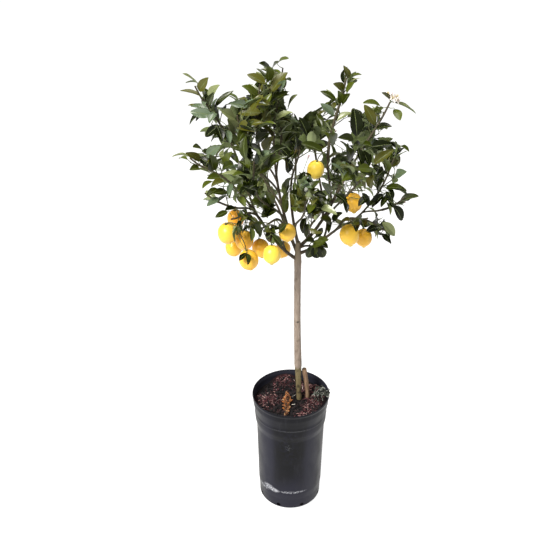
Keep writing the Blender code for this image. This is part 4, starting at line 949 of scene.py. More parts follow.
def grow_stalks(mass):
    """Each lemon's stalk comes to its top from the nearest place above it with a clear way down."""
    for shape, top in mass.lemons:
        places = [shoot.at(0.06 + i / 12)[0] for shoot in mass.shoots for i in range(11)]
        places.sort(key=lambda p: (p - top).length + 2.0 * max(0.0, top.z + 0.006 - p.z))
        for place in places:
            leave = ((top - place).normalized() + UP * 0.2).normalized()
            line = curve_points(place, leave, top - UP * 0.004, -UP, 4)
            if not mass.crown.touches(tree_of(tube(line, [2.0 * STALK_RADIUS] * 4, 3)), shape):
                break
        mass.stalks.append(Shoot(line, STALK_RADIUS, STALK_RADIUS))


def grow_leaves(mass):
    """Leaves stand round each shoot in three rows, smaller towards its tip, and one ends it."""
    chance = mass.random
    for shoot in mass.shoots + mass.stalks:
        mass.block(shoot.mesh())
    for own, shoot in enumerate(mass.shoots):
        first = 0.12 if own == 0 else 0.30
        row = chance.randrange(3)
        count = max(2, round(shoot.length * (1.0 - first) / LEAF_SPACING))
        for k in range(count):
            share = first + (0.96 - first) * k / count
            row += chance.choice(ROW_STEPS)
            spread = math.radians(chance.uniform(*LEAF_SPREAD) - 22.0 * share)
            length = mass.growth.leaf * (1.14 - 0.42 * share) * chance.uniform(0.84, 1.14)
            grow_leaf(mass, shoot.at(share), row, spread, length, own)
        length = mass.growth.leaf * chance.uniform(0.62, 0.84)
        if own > 0 or not mass.growth.flower:
            grow_leaf(mass, tip_start(shoot), row, TIP_SPREAD, length, own)


def tip_start(shoot):
    """Where the leaf that ends a shoot starts, a little inside it, and the frame there."""
    place, frame = shoot.at(1.0)
    return place - frame[0] * 0.003, frame


def grow_leaf(mass, start, row, spread, length, own=None):
    """Tries a leaf over the next row of the twig, then the others and shorter, until one fits.

    A leaf of the solids knows the number of its own shoot. A finer one has none, and may lap over
    its neighbours' margins."""
    chance = mass.random
    place, frame = start
    most, shrink = (FINE_TILT, FINE_LEAF_SHRINK) if own is None else (LEAF_TILT, LEAF_SHRINK)
    tilt = Vector([chance.uniform(-most, most) for _ in range(3)])
    outward = (place - CROWN_CENTRE).normalized()
    for attempt in range(TRIES):
        turn = math.pi / 3.0 + (row + attempt) * FULL_TURN / 3.0 + chance.uniform(-0.3, 0.3)
        leave = (around(frame, turn, spread) + UP * 0.06).normalized()
        leaf = Leaf(place, leave, frame[0] * 0.4 + UP * 0.5 + outward * 0.45 + tilt, length)
        if fine_leaf_fits(leaf, mass) if own is None else leaf_fits(leaf, mass, own):
            mass.leaves.append(leaf)
            if own is not None:
                mass.block(leaf.mesh())
            return
        length *= shrink


def leaf_fits(leaf, mass, own):
    """Whether a leaf keeps in its mass's space, off the limbs, and off all but its own shoot."""
    if not all(mass.holds(p) for p in leaf.samples()):
        return False
    tree = tree_of(leaf.mesh())
    if mass.crown.touches(tree):
        return False
    middle = leaf.along(0.5)
    for i, (place, reach, other) in enumerate(mass.blockers):
        if i != own and (place - middle).length < reach + leaf.length * 0.6 and other.overlap(tree):
            return False
    return True


# Finer growth


def grow_fine(mass):
    """Finer twigs leave the twigs by the same golden turn, with smaller leaves, inside the same space."""
    mass.random = random.Random(FINE_SEED + mass.growth.seed)
    turn = mass.random.uniform(0.0, FULL_TURN)
    for shoot in mass.shoots:
        for _ in range(mass.growth.fine):
            turn += GOLDEN_TURN
            grow_fine_twig(mass, shoot, turn)


def grow_fine_twig(mass, shoot, turn):
    """One finer twig with its leaves, left out where it doesn't fit or no leaf of it does."""
    chance = mass.random
    place, frame = shoot.at(chance.uniform(*FINE_SHARE))
    length = mass.growth.reach * chance.uniform(*FINE_REACH)
    spread = math.radians(chance.uniform(*FINE_SPREAD))
    for _ in range(TRIES):
        leave = (around(frame, turn, spread) + UP * 0.2).normalized()
        end = place + leave * length
        bend = around(frame, turn + 1.2, 1.2) * (0.06 * length)
        twig = Shoot([place, place + leave * (0.5 * length) + bend, end], FINE_RADIUS, FINE_TIP_RADIUS)
        near = tree_of(tube([place + leave * TWIG_CLEAR, end], [0.0015] * 2, 3))
        if not (in_sky(end) or outside(end) or mass.crown.touches(near)) and mass.holds(end):
            break
        turn += chance.uniform(*NEXT_TRY)
        length *= TWIG_SHRINK
    else:
        return
    before = len(mass.leaves)
    row = chance.randrange(3)
    count = max(1, round(length * 0.6 / FINE_LEAF_SPACING))
    for k in range(count):
        share = 0.38 + 0.55 * k / count
        row += chance.choice(ROW_STEPS)
        spread = math.radians(chance.uniform(*FINE_LEAF_SPREAD) - 20.0 * share)
        size = mass.growth.leaf * chance.uniform(*FINE_LEAF) * (1.06 - 0.3 * share)
        grow_leaf(mass, twig.at(share), row, spread, size)
    grow_leaf(mass, tip_start(twig), row, TIP_SPREAD, mass.growth.leaf * chance.uniform(*FINE_LEAF))
    if len(mass.leaves) > before:
        mass.fine_shoots.append(twig)


def fine_leaf_fits(leaf, mass):
    """Whether a finer leaf keeps in its space, off the limbs, out of the sky, and its rib off all leaves."""
    if not all(mass.holds(p) and not outside(p) for p in leaf.samples()):
        return False
    if in_the_way(leaf, mass.crown.shown) or mass.crown.touches(tree_of(leaf.mesh())):
        return False
    foot, middle = leaf.base + leaf.way * RIB_CLEAR, leaf.along(0.5)
    for place, reach, other in mass.blockers:
        near = (place - middle).length < reach + 0.5 * leaf.length
        if near and other.ray_cast(foot, leaf.way, leaf.length - RIB_CLEAR)[0]:
            return False
    return True


def outside(point):
    """Whether a point lies beyond the solids' box."""
    low, high = CAD_BOX
    return any(not low[i] - BOX_SLACK < point[i] < high[i] + BOX_SLACK for i in range(3))


def in_sky(point):
    """Whether the photo shows sky, or a lemon in front, where the point would be seen."""
    return any(math.dist(pixel_of(point), gap[:2]) < gap[2] for gap in PHOTO_GAPS)


def pixel_of(point):
    """Where the photo shows a point, in pixels across and down."""
    away = point - EYE
    ahead = away.y * DIP_COS - away.z * DIP_SIN
    up = away.y * DIP_SIN + away.z * DIP_COS
    return PHOTO_MIDDLE + PHOTO_FOCAL * away.x / ahead, PHOTO_MIDDLE - PHOTO_FOCAL * up / ahead


def seen_at(pixel, y):
    """The place, this far back, that the photo shows at a pixel."""
    side = (pixel[0] - PHOTO_MIDDLE) / PHOTO_FOCAL
    up = (PHOTO_MIDDLE - pixel[1]) / PHOTO_FOCAL
    back = DIP_COS + up * DIP_SIN
    way = Vector((side, back, up * DIP_COS - DIP_SIN))
    return EYE + way * ((y - EYE.y) / back)


# Leaves that the photo shows by themselves


def shown_leaf(shown, least):
    """The leaf of a row of SHOWN_LEAVES, leaning to the camera where it would be too short."""
    foot, tip = (shown.x, shown.y), (shown.tip_x, shown.tip_y)
    base = seen_at(foot, shown.back)
    flat = (seen_at(tip, shown.back) - base).length
    lean = math.sqrt(max(0.0, least**2 - flat**2))
    along = seen_at(tip, shown.back - lean) - base
    way = along.normalized()
    sight = EYE - base
    square = (sight - way * sight.dot(way)).normalized()
    up = way.cross(square)
    up = up if up.z > 0.0 else -up
    face = spoke(square, up, math.acos(shown.square))
    return Leaf(base, way, face, along.length, shown.green, shown.broad)


def place_leaves(crown):
    """Puts the leaves that the photo shows on twigs of their own, and clears what hides them."""
    placed = []
    for name, rows in SHOWN_LEAVES.items():
        mass = crown.by_name[name]
        places = [shoot.at(i / 12)[0] for shoot in mass.shoots for i in range(1, 13)]
        for row in rows:
            leaf = shown_leaf(Shown(*row), 0.8 * mass.growth.leaf)
            start = min(places, key=lambda p: (p - leaf.base).length + 1.5 * max(0.0, p.z - leaf.base.z))
            middle = start.lerp(leaf.base, 0.5) - UP * (0.12 * (start - leaf.base).length)
            placed.append((mass, leaf, Shoot([start, middle, leaf.base], FINE_RADIUS, FINE_TIP_RADIUS)))
    crown.shown = [leaf for _, leaf, _ in placed]
    for mass in crown.masses:
        mass.leaves = [leaf for leaf in mass.leaves if not in_the_way(leaf, crown.shown)]
        mass.blockers = mass.blockers[: len(mass.shoots) + len(mass.stalks)]
        for leaf in mass.leaves + crown.shown:
            mass.block(leaf.mesh())
    for mass, leaf, twig in placed:
        mass.leaves.append(leaf)
        mass.shown_twigs.append(twig)


def in_the_way(leaf, shown):
    """Whether a grown leaf stands in the sky, or before a leaf that the photo shows."""
    samples = [*leaf.samples(), leaf.base.lerp(leaf.along(1.0), 0.5)]
    if any(in_sky(p) for p in samples):
        return True
    pixels = [(pixel_of(p), (p - EYE).length) for p in samples]
    for other in shown:
        for share in (0.3, 0.55, 0.8):
            place = other.along(share)
            spot, away = pixel_of(place), (place - EYE).length
            if any(math.dist(spot, pixel) < SHOWN_CLEAR and near < away + 0.01 for pixel, near in pixels):
                return True
    return False


# Joined meshes


class Pile:
    """Shapes gathered as points and triangles, each triangle with its slot, and joined into one mesh."""

    def __init__(self):
        self.points, self.faces, self.slots = [], [], []
        self.count = 0

    def add(self, points, faces, slots):
        points = np.asarray(points, np.float64).reshape(-1, 3)
        faces = np.asarray(faces, np.int64).reshape(-1, 3)
        self.points.append(points)
        self.faces.append(faces + self.count)
        self.slots.append(np.broadcast_to(np.asarray(slots), len(faces)))
        self.count += len(points)

    def rod(self, line, radii, sides, slot):
        """Adds a closed tube along a line, its ends drawn to a point."""
        frames = frames_along(line)
        turns = FULL_TURN * np.arange(sides) / sides
        rings = []
        for point, radius, (_, first, second) in zip(line, radii, frames):
            out = np.outer(np.cos(turns), first) + np.outer(np.sin(turns), second)
            rings.append(np.asarray(point) + out * radius)
        foot = np.asarray(line[0] - frames[0][0] * radii[0] * 0.3)
        tip = np.asarray(line[-1] + frames[-1][0] * radii[-1] * 0.6)
        self.add(np.concatenate([*rings, [foot, tip]]), capped_faces(len(line), sides), slot)

    def build(self, name, looks, sharp=50.0):
        points, faces = np.concatenate(self.points), np.concatenate(self.faces)
        mesh = bpy.data.meshes.new(name)
        mesh.vertices.add(len(points))
        mesh.vertices.foreach_set("co", points.astype(np.float32).ravel())
        mesh.loops.add(faces.size)
        mesh.loops.foreach_set("vertex_index", faces.astype(np.int32).ravel())
        mesh.polygons.add(len(faces))
        mesh.polygons.foreach_set("loop_start", np.arange(0, faces.size, 3, dtype=np.int32))
        for look in looks:
            mesh.materials.append(look)
        mesh.polygons.foreach_set("material_index", np.concatenate(self.slots).astype(np.int32))
        mesh.update(calc_edges=True)
        mesh.shade_smooth()
        mesh.set_sharp_from_angle(angle=math.radians(sharp))
        return link(name, mesh)


def finer(points, values, step):
    """A smooth line through the points with a point every step, and the values along it."""
    places = np.array([tuple(p) for p in points])
    values = np.asarray(values, float)
    ahead = np.vstack([2.0 * places[0] - places[1], places, 2.0 * places[-1] - places[-2]])
    made, made_values = [], []
    for i in range(len(places) - 1):
        a, b, c, d = ahead[i : i + 4]
        count = max(1, round(np.linalg.norm(c - b) / step))
        for t in np.arange(count) / count:
            made.append(Vector(0.5 * (
                2.0 * b + (c - a) * t + (2.0 * a - 5.0 * b + 4.0 * c - d) * t**2
                + (3.0 * b - a - 3.0 * c + d) * t**3
            )))
            made_values.append(values[i] + (values[i + 1] - values[i]) * t)
    return [*made, Vector(places[-1])], [*made_values, values[-1]]


# Leaves

BLADE_FOOT = 0.10
BLADE_ROWS = np.array((0.155, 0.25, 0.37, 0.50, 0.64, 0.78, 0.89, 0.96))
BLADE_ACROSS = np.array((-1.0, -0.55, -0.05, 0.05, 0.55, 1.0))
BLADE_THICKNESS = 0.00035
PETIOLE_RADIUS = 0.0007
# A leaf shorter than this share of its mass's leaves is a young one
YOUNG_SHARE = 0.72
# The slots of the leaves' looks, and how often each under side is dealt
TOPS, UNDERS = len(LEAF_TOPS), len(LEAF_UNDERS)
RIB, PETIOLE = TOPS + UNDERS, TOPS + UNDERS + 1
UNDERS_DEALT = (4, 3, 2)


def blade_net():
    """Triangles of a blade, and the kind of each: 0 the upper side, 1 the rib, 2 the under side.

    The points are the upper net, the under net without its margins, the foot and the tip."""
    rows, wide = len(BLADE_ROWS), len(BLADE_ACROSS)
    under = rows * wide
    foot = under + rows * (wide - 2)
    tip = foot + 1

    def above(i, k):
        return i * wide + k

    def below(i, k):
        return above(i, k) if k in (0, wide - 1) else under + i * (wide - 2) + k - 1

    faces, kinds = [], []
    for k in range(wide - 1):
        top = 1 if k == wide // 2 - 1 else 0
        faces += [(foot, above(0, k + 1), above(0, k)), (tip, above(rows - 1, k), above(rows - 1, k + 1))]
        faces += [(foot, below(0, k), below(0, k + 1)), (tip, below(rows - 1, k + 1), below(rows - 1, k))]
        kinds += [top, top, 2, 2]
        for i in range(rows - 1):
            a, b, c, d = above(i, k), above(i, k + 1), above(i + 1, k + 1), above(i + 1, k)
            faces += [(a, b, c), (a, c, d)]
            a, b, c, d = below(i, k), below(i, k + 1), below(i + 1, k + 1), below(i + 1, k)
            faces += [(a, c, b), (a, d, c)]
            kinds += [top, top, 2, 2]
    return np.array(faces), np.array(kinds)


BLADE_FACES, BLADE_KINDS = blade_net()


class Bearing:
    """How one leaf holds itself: arch, droop of its tip, fold, bend, twist, waves of its margin, width."""

    def __init__(self, chance):
        self.arch = chance.uniform(0.04, 0.13)
        self.droop = chance.triangular(0.0, 0.34, 0.12)
        self.fold = chance.triangular(0.12, 0.85, 0.40)
        self.bend = chance.uniform(-0.09, 0.09)
        self.twist = chance.uniform(-0.55, 0.55)
        self.wave = chance.uniform(0.004, 0.020)
        self.waves = chance.uniform(1.2, 2.4)
        self.phase = chance.uniform(*ANY_TURN)
        self.width = chance.uniform(0.40, 0.53)

    def calm(self, broad):
        """A leaf that the photo shows by itself holds nearer its straight line, and has its own breadth."""
        self.arch *= 0.5
        self.droop *= 0.4
        self.bend *= 0.5
        self.width *= broad


def blade(leaf, bearing):
    """The points of one leaf's blade, for BLADE_FACES, and its middle line."""
    way, face = np.array(leaf.way), np.array(leaf.face)
    side = np.cross(way, face)
    length = leaf.length

    def spine(t):
        t = np.atleast_1d(t)[:, None]
        lift = bearing.arch * 4.0 * t * (1.0 - t) - bearing.droop * t**2.4
        return np.array(leaf.base) + length * (way * t + face * lift + side * bearing.bend * t**2)

    rows = (BLADE_ROWS - BLADE_FOOT) / (1.0 - BLADE_FOOT)
    half = 0.5 * bearing.width * length * np.sin(np.pi * rows**0.86) ** 0.72
    turn = bearing.twist * (rows - 0.3)
    sides = np.outer(np.cos(turn), side) + np.outer(np.sin(turn), face)
    faces = np.outer(np.cos(turn), face) - np.outer(np.sin(turn), side)
    u = BLADE_ACROSS
    rise = bearing.fold * half[:, None] * np.abs(u) ** 1.3
    ripple = np.sin(2.0 * np.pi * bearing.waves * rows[:, None] + bearing.phase + 1.3 * np.sign(u))
    rise += bearing.wave * length * u**2 * ripple
    out = (half * math.cos(bearing.fold * 0.8))[:, None] * u
    net = spine(BLADE_ROWS)[:, None] + sides[:, None] * out[..., None] + faces[:, None] * rise[..., None]
    below = net[:, 1:-1] - faces[:, None] * BLADE_THICKNESS
    ends = spine([BLADE_FOOT, 1.0])
    return np.concatenate([net.reshape(-1, 3), below.reshape(-1, 3), ends]), spine


def pick(chance, weights):
    """A number dealt by its weight."""
    return chance.choices(range(len(weights)), weights)[0]


def build_leaves(mass, looks, chance):
    """Every leaf of one mass as one mesh, its greens dealt out leaf by leaf from the mass's own share."""
    pile = Pile()
    for leaf in mass.leaves:
        bearing = Bearing(chance)
        young = leaf.length < YOUNG_SHARE * mass.growth.leaf
        top = pick(chance, YOUNG_GREENS if young else mass.growth.greens)
        if leaf.green is not None:
            bearing.calm(leaf.broad)
            top = leaf.green
        points, spine = blade(leaf, bearing)
        under = TOPS + pick(chance, UNDERS_DEALT)
        pile.add(points, BLADE_FACES, np.array([top, RIB, under])[BLADE_KINDS])
        stalk = [Vector(p) for p in spine([0.0, 0.07, 0.16])]
        stalk[0] -= leaf.way * 0.0005
        pile.rod(stalk, [PETIOLE_RADIUS, PETIOLE_RADIUS, PETIOLE_RADIUS * 0.6], 4, PETIOLE)
    return pile.build("leaves_" + mass.name, looks)


# Twigs, fruit and blossom

TWIG_SIDES = 6
TWIG_STEP = 0.006
CUT_STEPS = 20
# How near a leaf's foot has to be for a twig to be kept there
FOOT_NEAR = 0.004
BROWN_TWIG, GREEN_TWIG, YOUNG_TWIG = range(3)
CALYX_POINTS = 10
PEEL_RINGS, PEEL_SIDES = 22, 28
# The slot of the greener nipple comes after the yellows
PEEL_TIP = 4
PETAL_LENGTH = 0.0125
PETAL, BUD, STAMEN, SEPAL = range(4)


def cut_back(shoot, feet):
    """A twig's line and radii as far as the last leaf or twig that grows on it."""
    places = [shoot.at(i / CUT_STEPS)[0] for i in range(CUT_STEPS + 1)]
    used = [i for i, p in enumerate(places) if any((p - foot).length < FOOT_NEAR for foot in feet)]
    last = max(used[-1] if used else 0, 3)
    radii = np.interp(np.arange(last + 1) / CUT_STEPS, (0.0, 1.0), (shoot.radii[0], shoot.radii[-1]))
    return places[: last + 1], list(radii)


def build_twigs(mass, looks):
    """The mass's stem, twigs, finer twigs and fruit stalks, browner where they are older."""
    pile = Pile()
    later = mass.stalks + mass.fine_shoots + mass.shown_twigs
    feet = [leaf.base for leaf in mass.leaves] + [shoot.points[0] for shoot in later]
    for i, shoot in enumerate(mass.shoots + later):
        points, radii = shoot.points, shoot.radii
        if 0 < i < len(mass.shoots) or shoot in mass.fine_shoots:
            points, radii = cut_back(shoot, feet)
        line, radii = finer(points, radii, TWIG_STEP)
        slot = GREEN_TWIG if i < len(mass.shoots) + len(mass.stalks) else YOUNG_TWIG
        if i == 0:
            radii = [radius * STEM_SWELL.get(mass.name, COMMON_SWELL) for radius in radii]
            slot = BROWN_TWIG
        pile.rod(line, radii, TWIG_SIDES, slot)
    for (points, _), top in mass.lemons:
        add_calyx(pile, top, (points[-1] - top).normalized())
    return pile.build("twigs_" + mass.name, looks)


def add_calyx(pile, top, way):
    """The small green star between a stalk and its lemon."""
    first, second = across(way)
    corners = np.arange(CALYX_POINTS)
    turns = FULL_TURN * corners / CALYX_POINTS
    radii = np.where(corners % 2, 0.0042, 0.0022)
    rim = np.outer(np.cos(turns) * radii, first) + np.outer(np.sin(turns) * radii, second)
    rim += np.asarray(top) + np.asarray(way) * 0.0012
    ends = [np.asarray(top - way * 0.0018), np.asarray(top + way * 0.0022)]
    pile.add(np.concatenate([rim, ends]), capped_faces(1, CALYX_POINTS), GREEN_TWIG)


def peel(top, way, length, chance):
    """A lemon: full in the middle, a short neck at the stalk, a nipple at the other end, a little uneven."""
    outs = spokes(*across(way), PEEL_SIDES)
    seed = Vector([chance.uniform(0.0, 90.0) for _ in range(3)])
    points = []
    for i in range(1, PEEL_RINGS):
        s = i / PEEL_RINGS
        belly = max(0.0, 1.0 - abs((s - 0.47) / 0.455) ** 2.25) ** 0.56
        nipple = 0.30 * max(0.0, 1.0 - ((s - 0.86) / 0.14) ** 2) ** 0.5 if s > 0.72 else 0.0
        neck = 0.20 * max(0.0, 1.0 - (s / 0.10) ** 2)
        widest = max(belly, nipple, neck)
        for out in outs:
            lump = 1.0 + 0.035 * noise.noise(out * 1.3 + way * (2.5 * s) + seed)
            lump += 0.006 * noise.noise(out * 9.0 + way * (14.0 * s) + seed)
            points.append(top + way * (length * s) + out * (length / LEMON_STRETCH * lump * widest))
    points += [top + way * (0.012 * length), top + way * length]
    return points, capped_faces(PEEL_RINGS - 1, PEEL_SIDES)


def build_lemons(masses, looks):
    """All lemons as one mesh, each with its own yellow and a greener nipple."""
    chance = random.Random(LEMON_SEED)
    pile = Pile()
    dealt = iter(PEEL_DEALT)
    for mass in masses:
        for (points, _), top in mass.lemons:
            axis = points[-1] - top
            made, faces = peel(top, axis.normalized(), axis.length, chance)
            slots = np.full(len(faces), next(dealt))
            slots[np.array(faces).min(axis=1) >= (PEEL_RINGS - 3) * PEEL_SIDES] = PEEL_TIP
            pile.add(made, faces, slots)
    return pile.build("lemons", looks, 80.0)


def petal(pile, place, ahead, out, length, width, slot):
    """One petal: a cupped blade that leaves the flower's heart and bends back."""
    side = ahead.cross(out).normalized()
    upper = []
    for i in range(6):
        t = i / 5
        half = width * math.sin(math.pi * (0.10 + 0.84 * t) ** 0.8) * 0.5
        middle = place + out * (length * t) + ahead * (length * (0.55 * t - 0.42 * t * t))
        for u in (-1.0, 0.0, 1.0):
            upper.append(middle + side * (half * u) + ahead * (0.16 * half * u * u))
    count = len(upper)
    faces = grid_faces(6, 3)
    faces += [(c + count, b + count, a + count) for a, b, c in faces]
    rim = [3 * i for i in range(6)] + [16, 17] + [3 * i + 2 for i in reversed(range(5))] + [1]
    for a, b in zip(rim, rim[1:] + rim[:1]):
        faces += [(a, b, b + count), (a, b + count, a + count)]
    pile.add(upper + [p - ahead * 0.0003 for p in upper], faces, slot)


def flower(pile, place, ahead, chance, size=1.0):
    """An open flower: five petals, a brush of stamens and a small green cup."""
    first, second = across(ahead)
    start = chance.uniform(*ANY_TURN)
    for k in range(5):
        turn = start + FULL_TURN * k / 5 + chance.uniform(-0.12, 0.12)
        out = spoke(first, second, turn).normalized()
        out = (out + ahead * chance.uniform(-0.15, 0.35)).normalized()
        petal(pile, place, ahead, out, PETAL_LENGTH * size, 0.0060 * size, PETAL)
    for out in spokes(first, second, 9):
        tip = place + ahead * (0.0065 * size) + out * (0.0022 * size)
        pile.rod([place, tip], [0.0003, 0.0005], 4, STAMEN)
    pile.rod([place - ahead * 0.0022, place + ahead * 0.0004], [0.0012, 0.0024], 6, SEPAL)


def bud(pile, place, ahead, length):
    """A closed bud on its small cup."""
    shares = (0.0, 0.15, 0.4, 0.7, 0.92, 1.0)
    widths = (0.35, 0.75, 0.95, 1.0, 0.6, 0.2)
    line = [place + ahead * (length * s) for s in shares]
    pile.rod(line, [0.24 * length * w for w in widths], 8, BUD)
    pile.rod([place - ahead * 0.002, place + ahead * 0.0006], [0.0008, 0.0016], 6, SEPAL)


def build_blossom(crown, looks):
    """The open flowers and buds at the right-hand tip, a lone bud, and small ones at some shoots' tips."""
    chance = random.Random(BLOSSOM_SEED)
    pile = Pile()
    for mass in crown.masses:
        if mass.growth.flower:
            blossom_head(pile, *mass.shoots[0].at(1.0), chance)
    name, foot, end, back = LONE_BUD
    foot, end = seen_at(foot, back), seen_at(end, back)
    places = [shoot.at(i / 12)[0] for shoot in crown.by_name[name].shoots for i in range(13)]
    start = min(places, key=lambda p: (p - foot).length)
    pile.rod([start, foot, end], [0.0007, 0.0006, 0.0006], 5, SEPAL)
    bud(pile, end, (end - foot).normalized(), 0.0085)
    for name in BUDDED:
        for shoot in crown.by_name[name].fine_shoots[:1]:
            place, (ahead, first, _) = shoot.at(1.0)
            for side in (-0.5, 0.6):
                out = (ahead + first * side + UP * 0.3).normalized()
                bud(pile, place + out * 0.002, out, chance.uniform(0.0045, 0.0065))
    return pile.build("blossom", looks)


def blossom_head(pile, place, frame, chance):
    """A short axis over a shoot's tip, with flowers and buds on stalks all round it."""
    ahead, first, second = frame
    top = place + (ahead + UP).normalized() * 0.009
    pile.rod([place, top], [0.0012, 0.0008], 6, SEPAL)
    flower(pile, top, (ahead + UP).normalized(), chance)
    for k in range(FLOWERS_MORE):
        out = ((ahead + UP) * 0.45 + spoke(first, second, 2.4 * k + 0.6) * 1.2).normalized()
        foot = place.lerp(top, 1.0 - k / FLOWERS_MORE)
        end = foot + out * chance.uniform(0.011, 0.018)
        pile.rod([foot, end], [0.0007, 0.0008], 5, SEPAL)
        if k % 3 == 1:
            bud(pile, end, out, chance.uniform(0.006, 0.009))
        else:
            flower(pile, end, (out + UP * 0.5).normalized(), chance, 0.95)


# Trunk and boughs

TRUNK_SKIN_SIDES, BOUGH_SKIN_SIDES, STUB_SKIN_SIDES = 32, 12, 24
TRUNK_STEP, BOUGH_STEP = 0.0022, 0.0035


def bark_skin(points, radii, sides, step, relief, streak, collar=0.0, seed=0.0):
    """A tube with cracked, ridged bark. The foot of a bough flares into a collar on its parent."""
    line, widths = finer(points, radii, step)
    gone = 0.0
    made = []
    for i, (place, width, (_, first, second)) in enumerate(zip(line, widths, frames_along(line))):
        gone += (place - line[i - 1]).length if i else 0.0
        width *= 1.0 + collar * math.exp(-gone / (1.6 * widths[0]))
        for k in range(sides):
            turn = FULL_TURN * k / sides
            at = Vector((math.cos(turn) * streak, math.sin(turn) * streak, gone * 55.0 + seed))
            fine = Vector((at.x * 2.3, at.y * 2.3, gone * 160.0 + seed))
            crack = abs(noise.noise(at)) * 1.6 - 0.5
            out = spoke(first, second, turn)
            made.append(place + out * (width + relief * (crack + 0.5 * noise.noise(fine))))
    return [*made, line[0], line[-1]], capped_faces(len(line), sides)


def build_trunk(lines, look):
    points, radii = finer(*lines["trunk"], 0.006)
    heights, shares = zip(*TRUNK_WIDTHS)
    radii = [radius * float(np.interp(p.z, heights, shares)) for p, radius in zip(points, radii)]
    pile = Pile()
    pile.add(*bark_skin(points, radii, TRUNK_SKIN_SIDES, TRUNK_STEP, 0.00045, 2.2), 0)
    return pile.build("trunk_bark", [look], 70.0)


def build_boughs(lines, looks):
    """All boughs as one mesh, each thickened where it leaves its parent."""
    pile = Pile()
    for i, bough in enumerate(BOUGHS):
        shape = bark_skin(*lines[bough.name], BOUGH_SKIN_SIDES, BOUGH_STEP, 0.00025, 1.6, 0.35, 7.0 * i)
        pile.add(*shape, 0 if bough.parent == "trunk" or bough.name in OLD_BOUGHS else 1)
    return pile.build("bough_bark", looks, 70.0)


def build_stub(looks):
    """The second stem, sawn off beside the trunk. Its last point is the middle of the cut."""
    middle = STUB_FOOT.lerp(STUB_TOP, 0.45) + Vector((0.0014, 0.0, 0.0))
    line, radii = [STUB_FOOT, middle, STUB_TOP], [STUB_RADIUS * share for share in (0.98, 1.06, 1.14)]
    points, faces = bark_skin(line, radii, STUB_SKIN_SIDES, TRUNK_STEP, 0.0004, 2.6, 0.10, 31.0)
    pile = Pile()
    pile.add(points, faces, np.array(faces).max(axis=1) == len(points) - 1)
    return pile.build("stub_bark", looks, 50.0)


# Pot

POT_SKIN_SIDES = 120
POT_STEP = 0.0025
# The collar's rings: height, how far they rise
COLLAR_RINGS = (
    (0.2790, 0.0002), (0.2845, 0.0002), (0.2950, 0.0009), (0.3010, 0.0002), (0.3070, 0.0003),
    (0.3130, 0.0002),
)
# Steps that are well rounded: from, to, over how much height
ROUND_STEPS = ((0.245, 0.290, 0.0080), (0.036, 0.060, 0.0080))
# How far the lip's two edges are rounded
LIP_ROUND = 0.0007


def pot_outer_radius(height):
    """The outer side's radius at a height, its corners rounded, with the fine rings of the collar."""
    spread = max([0.0012, *(wide for low, high, wide in ROUND_STEPS if low < height < high)])
    near = [min(POT_HEIGHT, max(0.0, height + step * spread)) for step in (-1.0, -0.5, 0.0, 0.5, 1.0)]
    radius = sum(pot_radius_inside(z) + WALL for z in near) / len(near)
    for ring, rise in COLLAR_RINGS:
        radius += rise * math.exp(-((height - ring) / 0.0014) ** 2)
    return radius


def build_pot(looks):
    """The thin pot as a fine turned shell with a rounded lip, cut by its drain holes."""
    count = round(POT_HEIGHT / POT_STEP)
    heights = [POT_HEIGHT * i / count for i in range(count + 1)]
    outer = [(pot_outer_radius(z) - (LIP_ROUND if z > POT_HEIGHT - LIP_ROUND else 0.0), z) for z in heights]
    outer[0] = (POT_OUTER[0][0], 0.0)
    inner = [(pot_radius_inside(z), z) for z in reversed(heights) if z > POT_FLOOR + 0.004]
    inner[0] = (inner[0][0] + LIP_ROUND, POT_HEIGHT)
    profile = [(0.0, 0.0), (0.040, 0.0), *outer, *inner, (0.075, POT_FLOOR), (0.0, POT_FLOOR)]
    pot = object_of("pot_shell", turned(profile, POT_SKIN_SIDES), looks)
    for i in range(DRAIN_HOLES):
        turn = FULL_TURN * (i + 0.5) / DRAIN_HOLES
        way = Vector((math.cos(turn), math.sin(turn), 0.0))
        middle = way * pot_radius_inside(DRAIN_HEIGHT) + UP * DRAIN_HEIGHT
        pile = Pile()
        pile.rod([middle - way * 0.010, middle + way * 0.010], [DRAIN_RADIUS] * 2, 16, 0)
        cut_out(pot, pile.build("drain", looks[:1]))
    # The inner side above the soil takes the second look, the lighter copy of the plastic: painted light on
    # the shaded inside wall
    for side in pot.data.polygons:
        x, y, z = side.center
        inside = z > SOIL_LEVEL - 0.02 and math.hypot(x, y) < pot_radius_inside(z) + 0.5 * WALL
        side.material_index = 1 if inside else 0
    pot.data.shade_smooth()
    pot.data.set_sharp_from_angle(angle=math.radians(40.0))
    return pot


def cut_out(obj, cutter):
    """Cuts one object out of another, and removes it."""
    modifier = obj.modifiers.new("cut", "BOOLEAN")
    modifier.operation = "DIFFERENCE"
    modifier.solver = "EXACT"
    modifier.object = cutter
    graph = bpy.context.evaluated_depsgraph_get()
    made = bpy.data.meshes.new_from_object(obj.evaluated_get(graph))
    obj.modifiers.clear()
    obj.data = made
    bpy.data.objects.remove(cutter)


# Soil and what lies on it

GROUND_RINGS, GROUND_SIDES = 44, 120
SOIL_GAP = 2.0 * TOUCH_GAP
# The highest ring of the soil against the pot's wall
SOIL_RIM = SOIL_LEVEL - 0.006
# What lies on the soil keeps this far off the middle of the trunk and of the stub
TRUNK_CLEAR, STUB_CLEAR = 0.0145, 0.010
